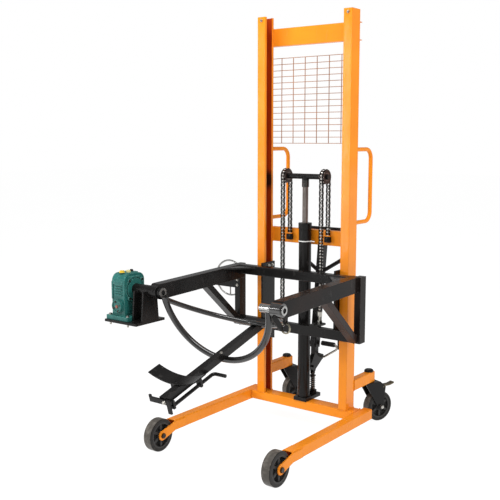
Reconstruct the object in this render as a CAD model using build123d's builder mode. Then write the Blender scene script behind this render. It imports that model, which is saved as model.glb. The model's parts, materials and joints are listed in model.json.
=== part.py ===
from build123d import *
from math import asin, cos, degrees, pi, radians, sin, sqrt
import os

os.makedirs("parts", exist_ok=True)

# Tipping stacker: a hand-pumped mast stacker whose carriage holds a tipping drum cradle.
# Millimetres. Origin on the floor, on the mid plane, below the front face of the mast.
# X to the right seen from the front, Y to the back, Z up.

sides = (("left", -1), ("right", 1))

# Fits and gaps
running_gap = 0.08
seat_gap = 0.3
side_play = 2.0

# Wheels
wheel_diameter = 160.0
wheel_width = 46.0
tyre_thickness = 17.0
tyre_round = 5.0
rim_wall = 8.0
boss_radius = 23.0
web_thickness = 12.0
spoke_count = 6
spoke_width = 14.0
window_margin = 4.0
axle_diameter = 16.0
bolt_head_height = 9.0
bolt_head_radius = 13.0

# Floor frame
leg_centre = 348.0
leg_width = 50.0
leg_height = 53.0
leg_top = 131.0
leg_wall = 4.0
leg_rear = 102.0
tube_corner = 5.0
front_axle_y = -718.0
leg_wheel_gap = 12.0
cheek_thickness = 6.0
cheek_lap = 80.0
cheek_tip = 24.0
base_height = 47.0
beam_wall = 4.0

# Mast
post_outer = 280.0
post_width = 47.0
post_depth = 76.0
post_wall = 5.0
post_lip = 15.0
mast_top = 2123.0
crossbeam_depth = 35.0
crossbeam_lap = 15.0
top_beam_drop = 55.0
top_beam_height = 89.0
mid_beam_low = 958.0
mid_beam_height = 76.0
chain_lug_width = 30.0
chain_lug_height = 30.0

# Mesh guard
mesh_wire = 3.0
mesh_drop = 63.2
mesh_rows = 15
mesh_row_pitch = 31.2
mesh_columns = 6
mesh_column_pitch = 72.0
mesh_lap = 12.0

# Push handles
handle_tube = 21.0
handle_wall = 2.5
handle_low = 1082.0
handle_high = 1449.0
handle_reach = 175.0
handle_bend = 48.0

# Rear casters
caster_x = 264.0
caster_y = 262.0
caster_trail = 62.0
caster_swivel = -22.0
caster_arm_width = 42.0
caster_arm_height = 57.0
caster_arm_low = 218.0
caster_arm_end = 27.0
king_pin = 22.0
cap_radius = 25.0
cap_height = 14.0
cap_round = 11.0
crown_thickness = 6.0
crown_front = 38.0
crown_back = 58.0
fork_plate = 5.0
fork_back = 94.0
fork_tip = 20.0
brake_pin = 8.0
brake_back = 80.0
brake_drop = 32.0
pedal_length = 84.0
pedal_width = 30.0
pedal_rise = 8.0
pedal_thickness = 7.0

# Lift cylinder and crosshead
cylinder_y = 35.0
cylinder_outer = 65.0
cylinder_bore = 52.0
cylinder_top = 1072.0
cylinder_floor = 16.0
gland_height = 30.0
gland_outer = 70.0
rod_diameter = 30.0
piston_low = 330.0
piston_height = 40.0
crosshead_z = 1311.0
crosshead_axle = 28.0
crosshead_socket = 37.0
crosshead_drop = 54.0
rod_socket = 30.0

# Roller chains and chain wheels
chain_x = 117.0
chain_pitch = 15.875
chain_teeth = 13
chain_width = 20.0
chain_height = 14.0
chain_roller = 10.16
chain_groove = 10.0
tooth_width = 8.0
tooth_height = 4.0
flange_radius = 36.0
flange_thickness = 3.0
chain_hub_radius = 22.0
anchor_eye_height = 24.0
anchor_eye_width = 18.0
anchor_stud = 14.0
anchor_stud_above = 34.0
anchor_stud_below = 14.0
anchor_nut_radius = 13.0
anchor_nut_height = 12.0
anchor_plate_width = 50.0
anchor_plate_thickness = 10.0
anchor_plate_overhang = 50.0

# Pump
pump_base_thickness = 18.0
pump_base_width = 80.0
pump_base_front = -4.0
pump_base_back = 142.0
pump_y = 122.0
pump_barrel_radius = 22.0
pump_barrel_height = 12.0
plunger_diameter = 18.0
plunger_low = 146.0
plunger_top = 262.0
plunger_stroke = 11.0
plunger_head_radius = 13.0
plunger_head_height = 10.0
collar_radius = 17.0
collar_height = 5.0
collar_z = 238.0
spring_outer = 30.0
spring_wire = 4.5
spring_turns = 6
pivot_y = 92.0
pivot_z = 300.0
pivot_pin = 12.0
ear_radius = 15.0
ear_thickness = 12.0
lever_thickness = 24.0
lever_boss = 17.0
lever_nose = 12.0
pedal_boss_y = 198.0
pedal_boss_z = 330.0
pedal_boss_radius = 15.0

# Hand lever
stem_y = 140.0
stem_z = 395.0
stem_lean = 7.1
stem_half = 19.0
stem_length = 556.0
stem_wall = 4.0
loop_root = 400.0
loop_shoulder = 482.0
loop_top = 636.0
loop_half_width = 130.0
loop_tube = 21.0
loop_bend = 26.0

# Foot pedal
pedal_rod = 12.0
pedal_rise_x = 96.0
pedal_rise_z = 378.0
pedal_grip_y = 208.0
pedal_grip_z = 402.0
pedal_grip_radius = 13.0
pedal_grip_length = 87.0
pedal_bend = 14.0
pedal_rod_side = 24.0

# Carriage
carriage_shift = -10.0
arm_inner = 331.0
arm_width = 50.0
arm_height = 75.0
arm_top = 837.0
arm_droop = 20.0
arm_wall = 4.0
arm_rear = -34.0
arm_nose = 5.0
arm_nose_round = 18.0
arm_sleeve = 60.0
sleeve_proud = 3.0
nose_solid = 40.0
vent_radius = 3.0
trunnion_y = -704.0
upper_beam_size = 48.0
upper_beam_front = -84.0
gusset_along_beam = 105.0
gusset_along_arm = 129.0
gusset_plate = 8.0
end_post_front = -62.0
end_post_inner = 352.0
end_post_width = 34.0
end_post_depth = 52.0
end_post_low = 506.0
lower_beam_depth = 30.0
lower_beam_height = 50.0
brace_reach = 284.0
brace_thickness = 30.0
brace_inset = 2.0
roller_plate_inner = 219.0
roller_plate_thickness = 10.0
roller_plate_low = 425.0
roller_plate_top = 850.0
roller_plate_toe = 15.0
roller_plate_tongue = 8.0
roller_plate_gap = 1.0
roller_margin = 38.0
roller_width = 30.0
roller_axle = 20.0
roller_collar = 30.0
roller_axle_end = 2.0

# Tipping gear
gear_x = -547.0
centre_distance = 80.0
shaft_rise = 1.5
case_half_width = 42.0
case_half_length = 68.0
case_top = 856.0
case_top_round = 38.0
case_wall = 9.0
case_base_left = 66.0
case_base_right = 78.0
case_base_half_length = 89.0
case_base_thickness = 20.0
case_bottom = 633.0
output_cover_radius = 52.0
output_cover_thickness = 8.0
worm_cover_radius = 31.0
worm_cover_thickness = 12.0
worm_shaft_diameter = 22.0
worm_radius = 24.0
worm_length = 84.0
wheel_clearance = 1.0
worm_wheel_width = 34.0
platform_thickness = 12.0
platform_front = -803.0
platform_back = -605.0
platform_right = -400.0
hanger_thickness = 8.0
hanger_top_width = 92.0
hanger_foot_width = 116.0
bearing_tube = 54.0
shaft_bracket_thickness = 16.0
shaft_bracket_height = 40.0
shaft_bracket_reach = 24.0
shaft_bracket_back = -14.0
handwheel_y = 102.0
handwheel_radius = 99.5
handwheel_rim = 10.0
handwheel_spoke = 8.0
handwheel_spokes = 3
handwheel_first_spoke = 30.0
handwheel_hub_radius = 21.0
handwheel_hub_length = 34.0

# Cradle, built about the trunnion axis and tipped nose down
cradle_tilt = 16.3
trunnion_diameter = 34.0
hub_radius = 23.0
hub_recess_radius = 12.0
hub_recess = 4.0
left_hub_length = 26.0
right_tube_radius = 19.0
right_tube_length = 62.0
end_ring_radius = 21.0
end_ring_thickness = 7.0
hoop_radius = 304.0
hoop_tube = 30.0
stay_bar = 25.0
stay_start = 6.0
stay_seat = 250.0
spine_size = 35.0
spine_wall = 3.0
spine_back = -294.0
spine_front = 432.0
drum_radius = 286.0
saddle_start = 258.0
saddle_width = 75.0
saddle_thickness = 5.0
saddle_chord = 270.0
saddle_x = -26.0
saddle_block_left = -42.0
saddle_block_start = 300.0
saddle_block_length = 30.0
saddle_block_drop = 25.0
hook_rod = 17.0
hook_rod_x = 34.0
hook_rod_depth = 300.0
hook_rod_back = 131.0
hook_handle_x = 104.0
hook_rod_bend = 16.0
hook_thickness = 8.0
hook_left = 72.0
hook_bar_depth = 272.0
hook_bar_height = 24.0
hook_nub_height = 10.0
hook_nub_width = 12.0
hook_tail_depth = 326.0
hook_tail_width = 20.0
rod_lug_length = 12.0
rod_lug_wall = 3.0
rod_lug_depth = 272.0
rod_lug_first = 222.0
rod_lug_second = 408.0
tie_lug_x = 330.0
tie_lug_thickness = 8.0
tie_lug_width = 26.0
tie_lug_length = 88.0
tie_lug_angle = 43.4
tie_lug_ahead = 18.0
tie_lug_below = 25.5
tie_eye_y = -628.0
tie_eye_z = 711.0
tie_eye_width = 26.0
tie_hole_radius = 8.0
tie_ring_radius = 23.0
tie_ring_wire = 8.0

# Places that follow from the sizes above
axle_height = wheel_diameter / 2
rim_radius = axle_height - tyre_thickness
rim_inner = rim_radius - rim_wall
leg_bottom = leg_top - leg_height
leg_front = front_axle_y + axle_height + leg_wheel_gap
leg_inner = leg_centre - leg_width / 2
post_inner = post_outer - post_width
post_middle = post_outer - post_width / 2
top_beam_low = mast_top - top_beam_drop - top_beam_height
mesh_top = top_beam_low - mesh_drop
mesh_low = mesh_top - (mesh_rows - 1) * mesh_row_pitch
mesh_half_width = post_inner + mesh_lap
crossbeam_half = post_inner + crossbeam_lap
caster_axle_y = caster_y + caster_trail
caster_arm_top = caster_arm_low + caster_arm_height
fork_top = caster_arm_low - seat_gap
fork_inner = wheel_width + 2 * side_play
fork_outer = fork_inner + 2 * fork_plate
brake_y = caster_y + brake_back
brake_z = fork_top - brake_drop
pump_top = leg_top + pump_base_thickness
cylinder_low = pump_top
pitch_radius = chain_pitch / (2 * sin(pi / chain_teeth))
tip_radius = pitch_radius + tooth_height
chain_front_y = cylinder_y - pitch_radius
chain_rear_y = cylinder_y + pitch_radius
lug_low = mid_beam_low + (mid_beam_height - chain_lug_height) / 2
lug_top = lug_low + chain_lug_height
lower_beam_top = end_post_low + lower_beam_height
anchor_plate_top = lower_beam_top + anchor_plate_thickness
anchor_eye_low = anchor_plate_top + anchor_stud_above
anchor_eye_top = anchor_eye_low + anchor_eye_height
arm_outer = arm_inner + arm_width
left_arm_inner = carriage_shift - arm_inner
left_arm_outer = carriage_shift - arm_outer
right_arm_inner = carriage_shift + arm_inner
right_arm_outer = carriage_shift + arm_outer
arm_slope = arm_droop / (arm_rear - trunnion_y)
trunnion_z = arm_top - arm_height / 2 - arm_droop
upper_beam_back = upper_beam_front + upper_beam_size
lower_beam_back = end_post_front + lower_beam_depth
roller_y = post_depth / 2
roller_radius = post_depth / 2 - post_wall - seat_gap
roller_inner = post_inner + post_wall + side_play
upper_roller_z = roller_plate_top - roller_margin
lower_roller_z = roller_plate_low + roller_margin
roller_heights = (("upper", upper_roller_z), ("lower", lower_roller_z))
worm_z = trunnion_z - centre_distance
worm_wheel_radius = centre_distance - worm_radius - wheel_clearance
case_right = gear_x + case_half_width + output_cover_thickness
left_hub_face = left_arm_inner + seat_gap
right_hub_face = right_arm_inner - seat_gap
end_ring_face = right_arm_outer + sleeve_proud + seat_gap
spine_depth = hoop_radius - hoop_tube / 2 - spine_size / 2
spine_top = spine_depth - spine_size / 2
stay_depth = spine_top - stay_bar / 2
stay_half_chord = hoop_radius * cos(radians(stay_start))
stay_root_depth = hoop_radius * sin(radians(stay_start))
spine_dir = Vector(0, -cos(radians(cradle_tilt)), -sin(radians(cradle_tilt)))
depth_dir = Vector(0, sin(radians(cradle_tilt)), -cos(radians(cradle_tilt)))
trunnion_point = Vector(carriage_shift, trunnion_y, trunnion_z)
cradle_frame = Plane(origin=trunnion_point, x_dir=(1, 0, 0), z_dir=spine_dir)
stay_reach = depth_dir * (stay_depth - stay_root_depth) - spine_dir * stay_seat
stay_plane = Plane(
    origin=trunnion_point + depth_dir * stay_root_depth,
    x_dir=(1, 0, 0),
    z_dir=Vector(1, 0, 0).cross(stay_reach),
)
shaft_dir = Vector(0, cos(radians(shaft_rise)), sin(radians(shaft_rise)))
shaft_frame = Plane(origin=(gear_x, trunnion_y, worm_z), x_dir=(1, 0, 0), z_dir=shaft_dir)
shaft_reach = (handwheel_y - trunnion_y) / shaft_dir.Y
wheel_centre = shaft_frame.origin + shaft_dir * shaft_reach


# Floor frame: a crossbeam between two legs, with wheel cheeks at the front of each leg
with BuildPart() as base_crossbeam:
    with BuildSketch(Plane.YZ.offset(-leg_inner)):
        with Locations((post_depth / 2, leg_top - base_height / 2)):
            RectangleRounded(post_depth, base_height, tube_corner)
            Rectangle(post_depth - 2 * beam_wall, base_height - 2 * beam_wall, mode=Mode.SUBTRACT)
    extrude(amount=2 * leg_inner)
base_crossbeam.part.label = "base_crossbeam"
export_step(base_crossbeam.part, "parts/base_crossbeam.step")

for side, sign in sides:
    leg_x = sign * leg_centre
    leg_middle = leg_top - leg_height / 2
    with BuildPart() as leg:
        with BuildSketch(Plane.XZ.offset(-leg_rear)):
            with Locations((leg_x, leg_middle)):
                RectangleRounded(leg_width, leg_height, tube_corner)
        extrude(amount=leg_rear - leg_front)
        with BuildSketch(Plane.XZ.offset(leg_wall - leg_rear)):
            with Locations((leg_x, leg_middle)):
                Rectangle(leg_width - 2 * leg_wall, leg_height - 2 * leg_wall)
        extrude(amount=leg_rear - leg_front, mode=Mode.SUBTRACT)
        for cheek_x in (leg_x + leg_width / 2, leg_x - leg_width / 2 - cheek_thickness):
            with BuildSketch(Plane.YZ.offset(cheek_x)):
                with BuildLine():
                    Polyline(
                        (leg_front + cheek_lap, leg_top - tube_corner),
                        (leg_front, leg_top - tube_corner),
                        (front_axle_y, axle_height + cheek_tip),
                        (front_axle_y, axle_height - cheek_tip),
                        (leg_front, leg_bottom + tube_corner),
                        (leg_front + cheek_lap, leg_bottom + tube_corner),
                        close=True,
                    )
                make_face()
                with Locations((front_axle_y, axle_height)):
                    Circle(cheek_tip)
                    Circle(axle_diameter / 2 + running_gap, mode=Mode.SUBTRACT)
            extrude(amount=cheek_thickness)
    leg.part.label = f"leg_{side}"
    export_step(leg.part, f"parts/leg_{side}.step")

with BuildPart() as front_axles:
    half_grip = leg_width / 2 + cheek_thickness
    for side, sign in sides:
        axle_start = sign * leg_centre - half_grip
        with BuildSketch(Plane.YZ.offset(axle_start - bolt_head_height)):
            with Locations((front_axle_y, axle_height)):
                RegularPolygon(bolt_head_radius, 6)
        extrude(amount=bolt_head_height)
        with BuildSketch(Plane.YZ.offset(axle_start)):
            with Locations((front_axle_y, axle_height)):
                Circle(axle_diameter / 2)
        extrude(amount=2 * half_grip)
        with BuildSketch(Plane.YZ.offset(axle_start + 2 * half_grip)):
            with Locations((front_axle_y, axle_height)):
                RegularPolygon(bolt_head_radius, 6)
        extrude(amount=bolt_head_height)
front_axles.part.label = "front_axles"
export_step(front_axles.part, "parts/front_axles.step")

# Wheels: a spoked hub with a tyre bonded round it, the casters turned a little to one side
for place, wheel_x, wheel_y, wheel_turn in (
    ("front", leg_centre, front_axle_y, 0),
    ("caster", caster_x, caster_axle_y, caster_swivel),
):
    for side, sign in sides:
        wheel_start = sign * wheel_x - wheel_width / 2
        turn_axis = Axis((sign * wheel_x, caster_y, 0), (0, 0, 1))
        window_height = rim_inner - boss_radius - 2 * window_margin
        window_outer = 2 * pi * (rim_inner - window_margin) / spoke_count - spoke_width
        window_inner = 2 * pi * (boss_radius + window_margin) / spoke_count - spoke_width
        window_slope = 90 - degrees(asin((window_outer - window_inner) / 2 / window_height))
        with BuildPart() as hub:
            with BuildSketch(Plane.YZ.offset(wheel_start)):
                with Locations((wheel_y, axle_height)):
                    Circle(rim_radius)
                    Circle(rim_inner, mode=Mode.SUBTRACT)
                    Circle(boss_radius)
            extrude(amount=wheel_width)
            with BuildSketch(Plane.YZ.offset(sign * wheel_x - web_thickness / 2)):
                with Locations((wheel_y, axle_height)):
                    Circle(rim_radius - rim_wall / 2)
                    with PolarLocations((rim_inner + boss_radius) / 2, spoke_count):
                        Trapezoid(
                            window_outer, window_height, window_slope, rotation=90, mode=Mode.SUBTRACT
                        )
            extrude(amount=web_thickness)
            with BuildSketch(Plane.YZ.offset(wheel_start)):
                with Locations((wheel_y, axle_height)):
                    Circle(axle_diameter / 2 + running_gap)
            extrude(amount=wheel_width, mode=Mode.SUBTRACT)
        turned_hub = hub.part.rotate(turn_axis, wheel_turn)
        turned_hub.label = f"{place}_hub_{side}"
        export_step(turned_hub, f"parts/{place}_hub_{side}.step")

        with BuildPart() as tyre:
            with BuildSketch(Plane.YZ.offset(wheel_start)):
                with Locations((wheel_y, axle_height)):
                    Circle(axle_height)
            extrude(amount=wheel_width)
            fillet(tyre.edges().filter_by(GeomType.CIRCLE), tyre_round)
            with BuildSketch(Plane.YZ.offset(wheel_start)):
                with Locations((wheel_y, axle_height)):
                    Circle(rim_radius)
            extrude(amount=wheel_width, mode=Mode.SUBTRACT)
        turned_tyre = tyre.part.rotate(turn_axis, wheel_turn)
        turned_tyre.label = f"{place}_tyre_{side}"
        export_step(turned_tyre, f"parts/{place}_tyre_{side}.step")

# Mast: two lipped channels that face each other, tied by channel crossbeams behind them.
# The middle crossbeam has lugs that hold the fixed ends of the chains.
for side, sign in sides:
    with BuildPart() as mast_post:
        with BuildSketch(Plane.XY.offset(leg_top)):
            with BuildLine():
                Polyline(
                    (sign * post_outer, 0),
                    (sign * post_inner, 0),
                    (sign * post_inner, post_lip),
                    (sign * (post_inner + post_wall), post_lip),
                    (sign * (post_inner + post_wall), post_wall),
                    (sign * (post_outer - post_wall), post_wall),
                    (sign * (post_outer - post_wall), post_depth - post_wall),
                    (sign * (post_inner + post_wall), post_depth - post_wall),
                    (sign * (post_inner + post_wall), post_depth - post_lip),
                    (sign * post_inner, post_depth - post_lip),
                    (sign * post_inner, post_depth),
                    (sign * post_outer, post_depth),
                    close=True,
                )
            make_face()
        extrude(amount=mast_top - leg_top)
    mast_post.part.label = f"mast_post_{side}"
    export_step(mast_post.part, f"parts/mast_post_{side}.step")

for beam_name, beam_low, beam_height in (
    ("top_crossbeam", top_beam_low, top_beam_height),
    ("mid_crossbeam", mid_beam_low, mid_beam_height),
):
    with BuildPart() as crossbeam:
        with BuildSketch(Plane.YZ.offset(-crossbeam_half)):
            with Locations((post_depth + crossbeam_depth / 2, beam_low + beam_height / 2)):
                Rectangle(crossbeam_depth, beam_height)
            with Locations((post_depth + beam_wall + crossbeam_depth / 2, beam_low + beam_height / 2)):
                Rectangle(crossbeam_depth, beam_height - 2 * beam_wall, mode=Mode.SUBTRACT)
        extrude(amount=2 * crossbeam_half)
        if beam_name == "mid_crossbeam":
            lug_front = chain_rear_y - chain_height / 2
            lug_middle = (lug_front + post_depth) / 2
            with BuildSketch(Plane.XY.offset(lug_low)):
                with Locations((-chain_x, lug_middle), (chain_x, lug_middle)):
                    Rectangle(chain_lug_width, post_depth - lug_front)
            extrude(amount=chain_lug_height)
    crossbeam.part.label = beam_name
    export_step(crossbeam.part, f"parts/{beam_name}.step")

# Mesh guard: welded wires in one flat panel behind the posts
with BuildPart() as mesh_guard:
    with BuildSketch(Plane.XZ.offset(-post_depth - mesh_wire)):
        with Locations((0, (mesh_low + mesh_top) / 2)):
            with GridLocations(0, mesh_row_pitch, 1, mesh_rows):
                Rectangle(2 * mesh_half_width, mesh_wire)
            with GridLocations(mesh_column_pitch, 0, mesh_columns, 1):
                Rectangle(mesh_wire, mesh_top - mesh_low + mesh_wire)
    extrude(amount=mesh_wire)
mesh_guard.part.label = "mesh_guard"
export_step(mesh_guard.part, "parts/mesh_guard.step")

# Push handles: bent tubes on the backs of the posts
for side, sign in sides:
    handle_x = sign * post_middle
    with BuildPart() as handle:
        with BuildLine() as handle_path:
            FilletPolyline(
                (handle_x, post_depth, handle_low),
                (handle_x, post_depth + handle_reach, handle_low),
                (handle_x, post_depth + handle_reach, handle_high),
                (handle_x, post_depth, handle_high),
                radius=handle_bend,
            )
        with BuildSketch(Plane(origin=handle_path.line @ 0, z_dir=handle_path.line % 0)):
            Circle(handle_tube / 2)
            Circle(handle_tube / 2 - handle_wall, mode=Mode.SUBTRACT)
        sweep()
    handle.part.label = f"handle_{side}"
    export_step(handle.part, f"parts/handle_{side}.step")

# Caster arms: short tubes behind the posts, each with a solid end bored for the king pin
with BuildPart() as caster_arms:
    for side, sign in sides:
        arm_middle = caster_arm_low + caster_arm_height / 2
        with BuildSketch(Plane.XZ.offset(-caster_y - caster_arm_end)):
            with Locations((sign * caster_x, arm_middle)):
                RectangleRounded(caster_arm_width, caster_arm_height, tube_corner)
        extrude(amount=caster_y + caster_arm_end - post_depth)
        with BuildSketch(Plane.XZ.offset(caster_arm_end - caster_y)):
            with Locations((sign * caster_x, arm_middle)):
                Rectangle(caster_arm_width - 2 * leg_wall, caster_arm_height - 2 * leg_wall)
        extrude(amount=caster_y - caster_arm_end - post_depth, mode=Mode.SUBTRACT)
        with BuildSketch(Plane.XY.offset(caster_arm_low)):
            with Locations((sign * caster_x, caster_y)):
                Circle(king_pin / 2 + running_gap)
        extrude(amount=caster_arm_height, mode=Mode.SUBTRACT)
caster_arms.part.label = "caster_arms"
export_step(caster_arms.part, "parts/caster_arms.step")

# Caster forks: crown, two cheeks, wheel axle, king pin and the dome cap over its nut
for side, sign in sides:
    pin_x = sign * caster_x
    with BuildPart() as caster_fork:
        with BuildSketch(Plane.XY.offset(fork_top - crown_thickness)):
            with Locations((pin_x, caster_y + (crown_back - crown_front) / 2)):
                Rectangle(fork_outer, crown_front + crown_back)
        extrude(amount=crown_thickness)
        for plate_x in (pin_x + fork_inner / 2, pin_x - fork_outer / 2):
            with BuildSketch(Plane.YZ.offset(plate_x)):
                with BuildLine():
                    Polyline(
                        (caster_y - crown_front, fork_top),
                        (caster_y + crown_back, fork_top),
                        (caster_y + fork_back, brake_z),
                        (caster_axle_y + fork_tip, axle_height),
                        (caster_axle_y - fork_tip, axle_height),
                        (caster_y - crown_front, fork_top - crown_thickness),
                        close=True,
                    )
                make_face()
                with Locations((caster_axle_y, axle_height)):
                    Circle(fork_tip)
                with Locations((brake_y, brake_z)):
                    Circle(brake_pin / 2 + running_gap, mode=Mode.SUBTRACT)
            extrude(amount=fork_plate)
        with BuildSketch(Plane.YZ.offset(pin_x - fork_outer / 2 - bolt_head_height)):
            with Locations((caster_axle_y, axle_height)):
                RegularPolygon(bolt_head_radius, 6)
        extrude(amount=bolt_head_height)
        with BuildSketch(Plane.YZ.offset(pin_x - fork_outer / 2)):
            with Locations((caster_axle_y, axle_height)):
                Circle(axle_diameter / 2)
        extrude(amount=fork_outer)
        with BuildSketch(Plane.YZ.offset(pin_x + fork_outer / 2)):
            with Locations((caster_axle_y, axle_height)):
                RegularPolygon(bolt_head_radius, 6)
        extrude(amount=bolt_head_height)
        with BuildSketch(Plane.XY.offset(fork_top)):
            with Locations((pin_x, caster_y)):
                Circle(king_pin / 2)
        extrude(amount=caster_arm_top + seat_gap - fork_top)
        with BuildSketch(Plane.XY.offset(caster_arm_top + seat_gap)):
            with Locations((pin_x, caster_y)):
                Circle(cap_radius)
        extrude(amount=cap_height)
        fillet(caster_fork.edges().group_by(Axis.Z)[-1], cap_round)
    turned_fork = caster_fork.part.rotate(Axis((pin_x, caster_y, 0), (0, 0, 1)), caster_swivel)
    turned_fork.label = f"caster_fork_{side}"
    export_step(turned_fork, f"parts/caster_fork_{side}.step")

    with BuildPart() as brake_pedal:
        with BuildSketch(Plane.YZ.offset(pin_x - pedal_width / 2)):
            with BuildLine():
                Polyline(
                    (brake_y, brake_z - pedal_thickness / 2),
                    (brake_y + pedal_length * 2 / 3, brake_z - pedal_thickness / 2),
                    (brake_y + pedal_length, brake_z - pedal_thickness / 2 + pedal_rise),
                    (brake_y + pedal_length, brake_z + pedal_thickness / 2 + pedal_rise),
                    (brake_y + pedal_length * 2 / 3, brake_z + pedal_thickness / 2),
                    (brake_y, brake_z + pedal_thickness / 2),
                    close=True,
                )
            make_face()
            with Locations((brake_y, brake_z)):
                Circle(brake_pin)
        extrude(amount=pedal_width)
        with BuildSketch(Plane.YZ.offset(pin_x - fork_outer / 2)):
            with Locations((brake_y, brake_z)):
                Circle(brake_pin / 2)
        extrude(amount=fork_outer)
    turned_pedal = brake_pedal.part.rotate(Axis((pin_x, caster_y, 0), (0, 0, 1)), caster_swivel)
    turned_pedal.label = f"brake_pedal_{side}"
    export_step(turned_pedal, f"parts/brake_pedal_{side}.step")

# Lift cylinder, a closed tube with a gland, and the rod with its piston inside
with BuildPart() as lift_cylinder:
    with BuildSketch(Plane.XY.offset(cylinder_low)):
        with Locations((0, cylinder_y)):
            Circle(cylinder_outer / 2)
    extrude(amount=cylinder_top - cylinder_low)
    with BuildSketch(Plane.XY.offset(cylinder_top - gland_height)):
        with Locations((0, cylinder_y)):
            Circle(gland_outer / 2)
    extrude(amount=gland_height)
    with BuildSketch(Plane.XY.offset(cylinder_low + cylinder_floor)):
        with Locations((0, cylinder_y)):
            Circle(cylinder_bore / 2)
    extrude(amount=cylinder_top - gland_height - cylinder_low - cylinder_floor, mode=Mode.SUBTRACT)
    with BuildSketch(Plane.XY.offset(cylinder_top - gland_height)):
        with Locations((0, cylinder_y)):
            Circle(rod_diameter / 2 + running_gap)
    extrude(amount=gland_height, mode=Mode.SUBTRACT)
lift_cylinder.part.label = "lift_cylinder"
export_step(lift_cylinder.part, "parts/lift_cylinder.step")

with BuildPart() as piston_rod:
    with BuildSketch(Plane.XY.offset(piston_low)):
        with Locations((0, cylinder_y)):
            Circle(cylinder_bore / 2 - running_gap)
    extrude(amount=piston_height)
    with BuildSketch(Plane.XY.offset(piston_low)):
        with Locations((0, cylinder_y)):
            Circle(rod_diameter / 2)
    extrude(amount=crosshead_z - crosshead_drop + rod_socket - piston_low)
piston_rod.part.label = "piston_rod"
export_step(piston_rod.part, "parts/piston_rod.step")

# Crosshead: a socket on the rod that carries the chain-wheel axle
chain_wheel_half = chain_width / 2 + side_play / 2 + flange_thickness
with BuildPart() as crosshead:
    with BuildSketch(Plane.XY.offset(crosshead_z - crosshead_drop)):
        with Locations((0, cylinder_y)):
            Circle(crosshead_socket / 2)
    extrude(amount=crosshead_drop)
    axle_half = chain_x + chain_wheel_half + bolt_head_height
    with BuildSketch(Plane.YZ.offset(-axle_half)):
        with Locations((cylinder_y, crosshead_z)):
            Circle(crosshead_axle / 2)
    extrude(amount=2 * axle_half)
    with BuildSketch(Plane.XY.offset(crosshead_z - crosshead_drop)):
        with Locations((0, cylinder_y)):
            Circle(rod_diameter / 2 + running_gap)
    extrude(amount=rod_socket, mode=Mode.SUBTRACT)
crosshead.part.label = "crosshead"
export_step(crosshead.part, "parts/crosshead.step")

# Chain wheels: toothed discs between guide flanges
with BuildPart() as chain_wheels:
    for side, sign in sides:
        with BuildSketch(Plane.YZ.offset(sign * chain_x - tooth_width / 2)):
            with Locations((cylinder_y, crosshead_z)):
                Circle(tip_radius)
                with PolarLocations(pitch_radius, chain_teeth):
                    Circle(chain_roller / 2, mode=Mode.SUBTRACT)
        extrude(amount=tooth_width)
        with BuildSketch(Plane.YZ.offset(sign * chain_x - chain_wheel_half)):
            with Locations((cylinder_y, crosshead_z)):
                Circle(chain_hub_radius)
        extrude(amount=2 * chain_wheel_half)
        for flange_x in (-chain_wheel_half, chain_wheel_half - flange_thickness):
            with BuildSketch(Plane.YZ.offset(sign * chain_x + flange_x)):
                with Locations((cylinder_y, crosshead_z)):
                    Circle(flange_radius)
            extrude(amount=flange_thickness)
        with BuildSketch(Plane.YZ.offset(sign * chain_x - chain_wheel_half)):
            with Locations((cylinder_y, crosshead_z)):
                Circle(crosshead_axle / 2 + running_gap)
        extrude(amount=2 * chain_wheel_half, mode=Mode.SUBTRACT)
chain_wheels.part.label = "chain_wheels"
export_step(chain_wheels.part, "parts/chain_wheels.step")

# Chains: bands of link-plate size, grooved where the teeth enter
groove_depth = tip_radius + seat_gap - (pitch_radius - chain_height / 2)
groove_middle = tip_radius + seat_gap - groove_depth / 2
chain_axis = Axis((0, cylinder_y, crosshead_z), (1, 0, 0))
with BuildPart() as rear_chains:
    for side, sign in sides:
        for section_z in (lug_top, crosshead_z):
            with BuildSketch(Plane.XY.offset(section_z)):
                with Locations((sign * chain_x, chain_rear_y)):
                    Rectangle(chain_width, chain_height)
                with Locations((sign * chain_x, cylinder_y + groove_middle)):
                    Rectangle(chain_groove, groove_depth, mode=Mode.SUBTRACT)
            if section_z == lug_top:
                extrude(amount=crosshead_z - lug_top)
            else:
                revolve(axis=chain_axis, revolution_arc=180)
rear_chains.part.label = "rear_chains"
export_step(rear_chains.part, "parts/rear_chains.step")

with BuildPart() as front_chains:
    with BuildSketch(Plane.XY.offset(anchor_eye_top)):
        with Locations((-chain_x, chain_front_y), (chain_x, chain_front_y)):
            Rectangle(chain_width, chain_height)
        with Locations((-chain_x, cylinder_y - groove_middle), (chain_x, cylinder_y - groove_middle)):
            Rectangle(chain_groove, groove_depth, mode=Mode.SUBTRACT)
    extrude(amount=crosshead_z - anchor_eye_top)
front_chains.part.label = "front_chains"
export_step(front_chains.part, "parts/front_chains.step")

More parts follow.
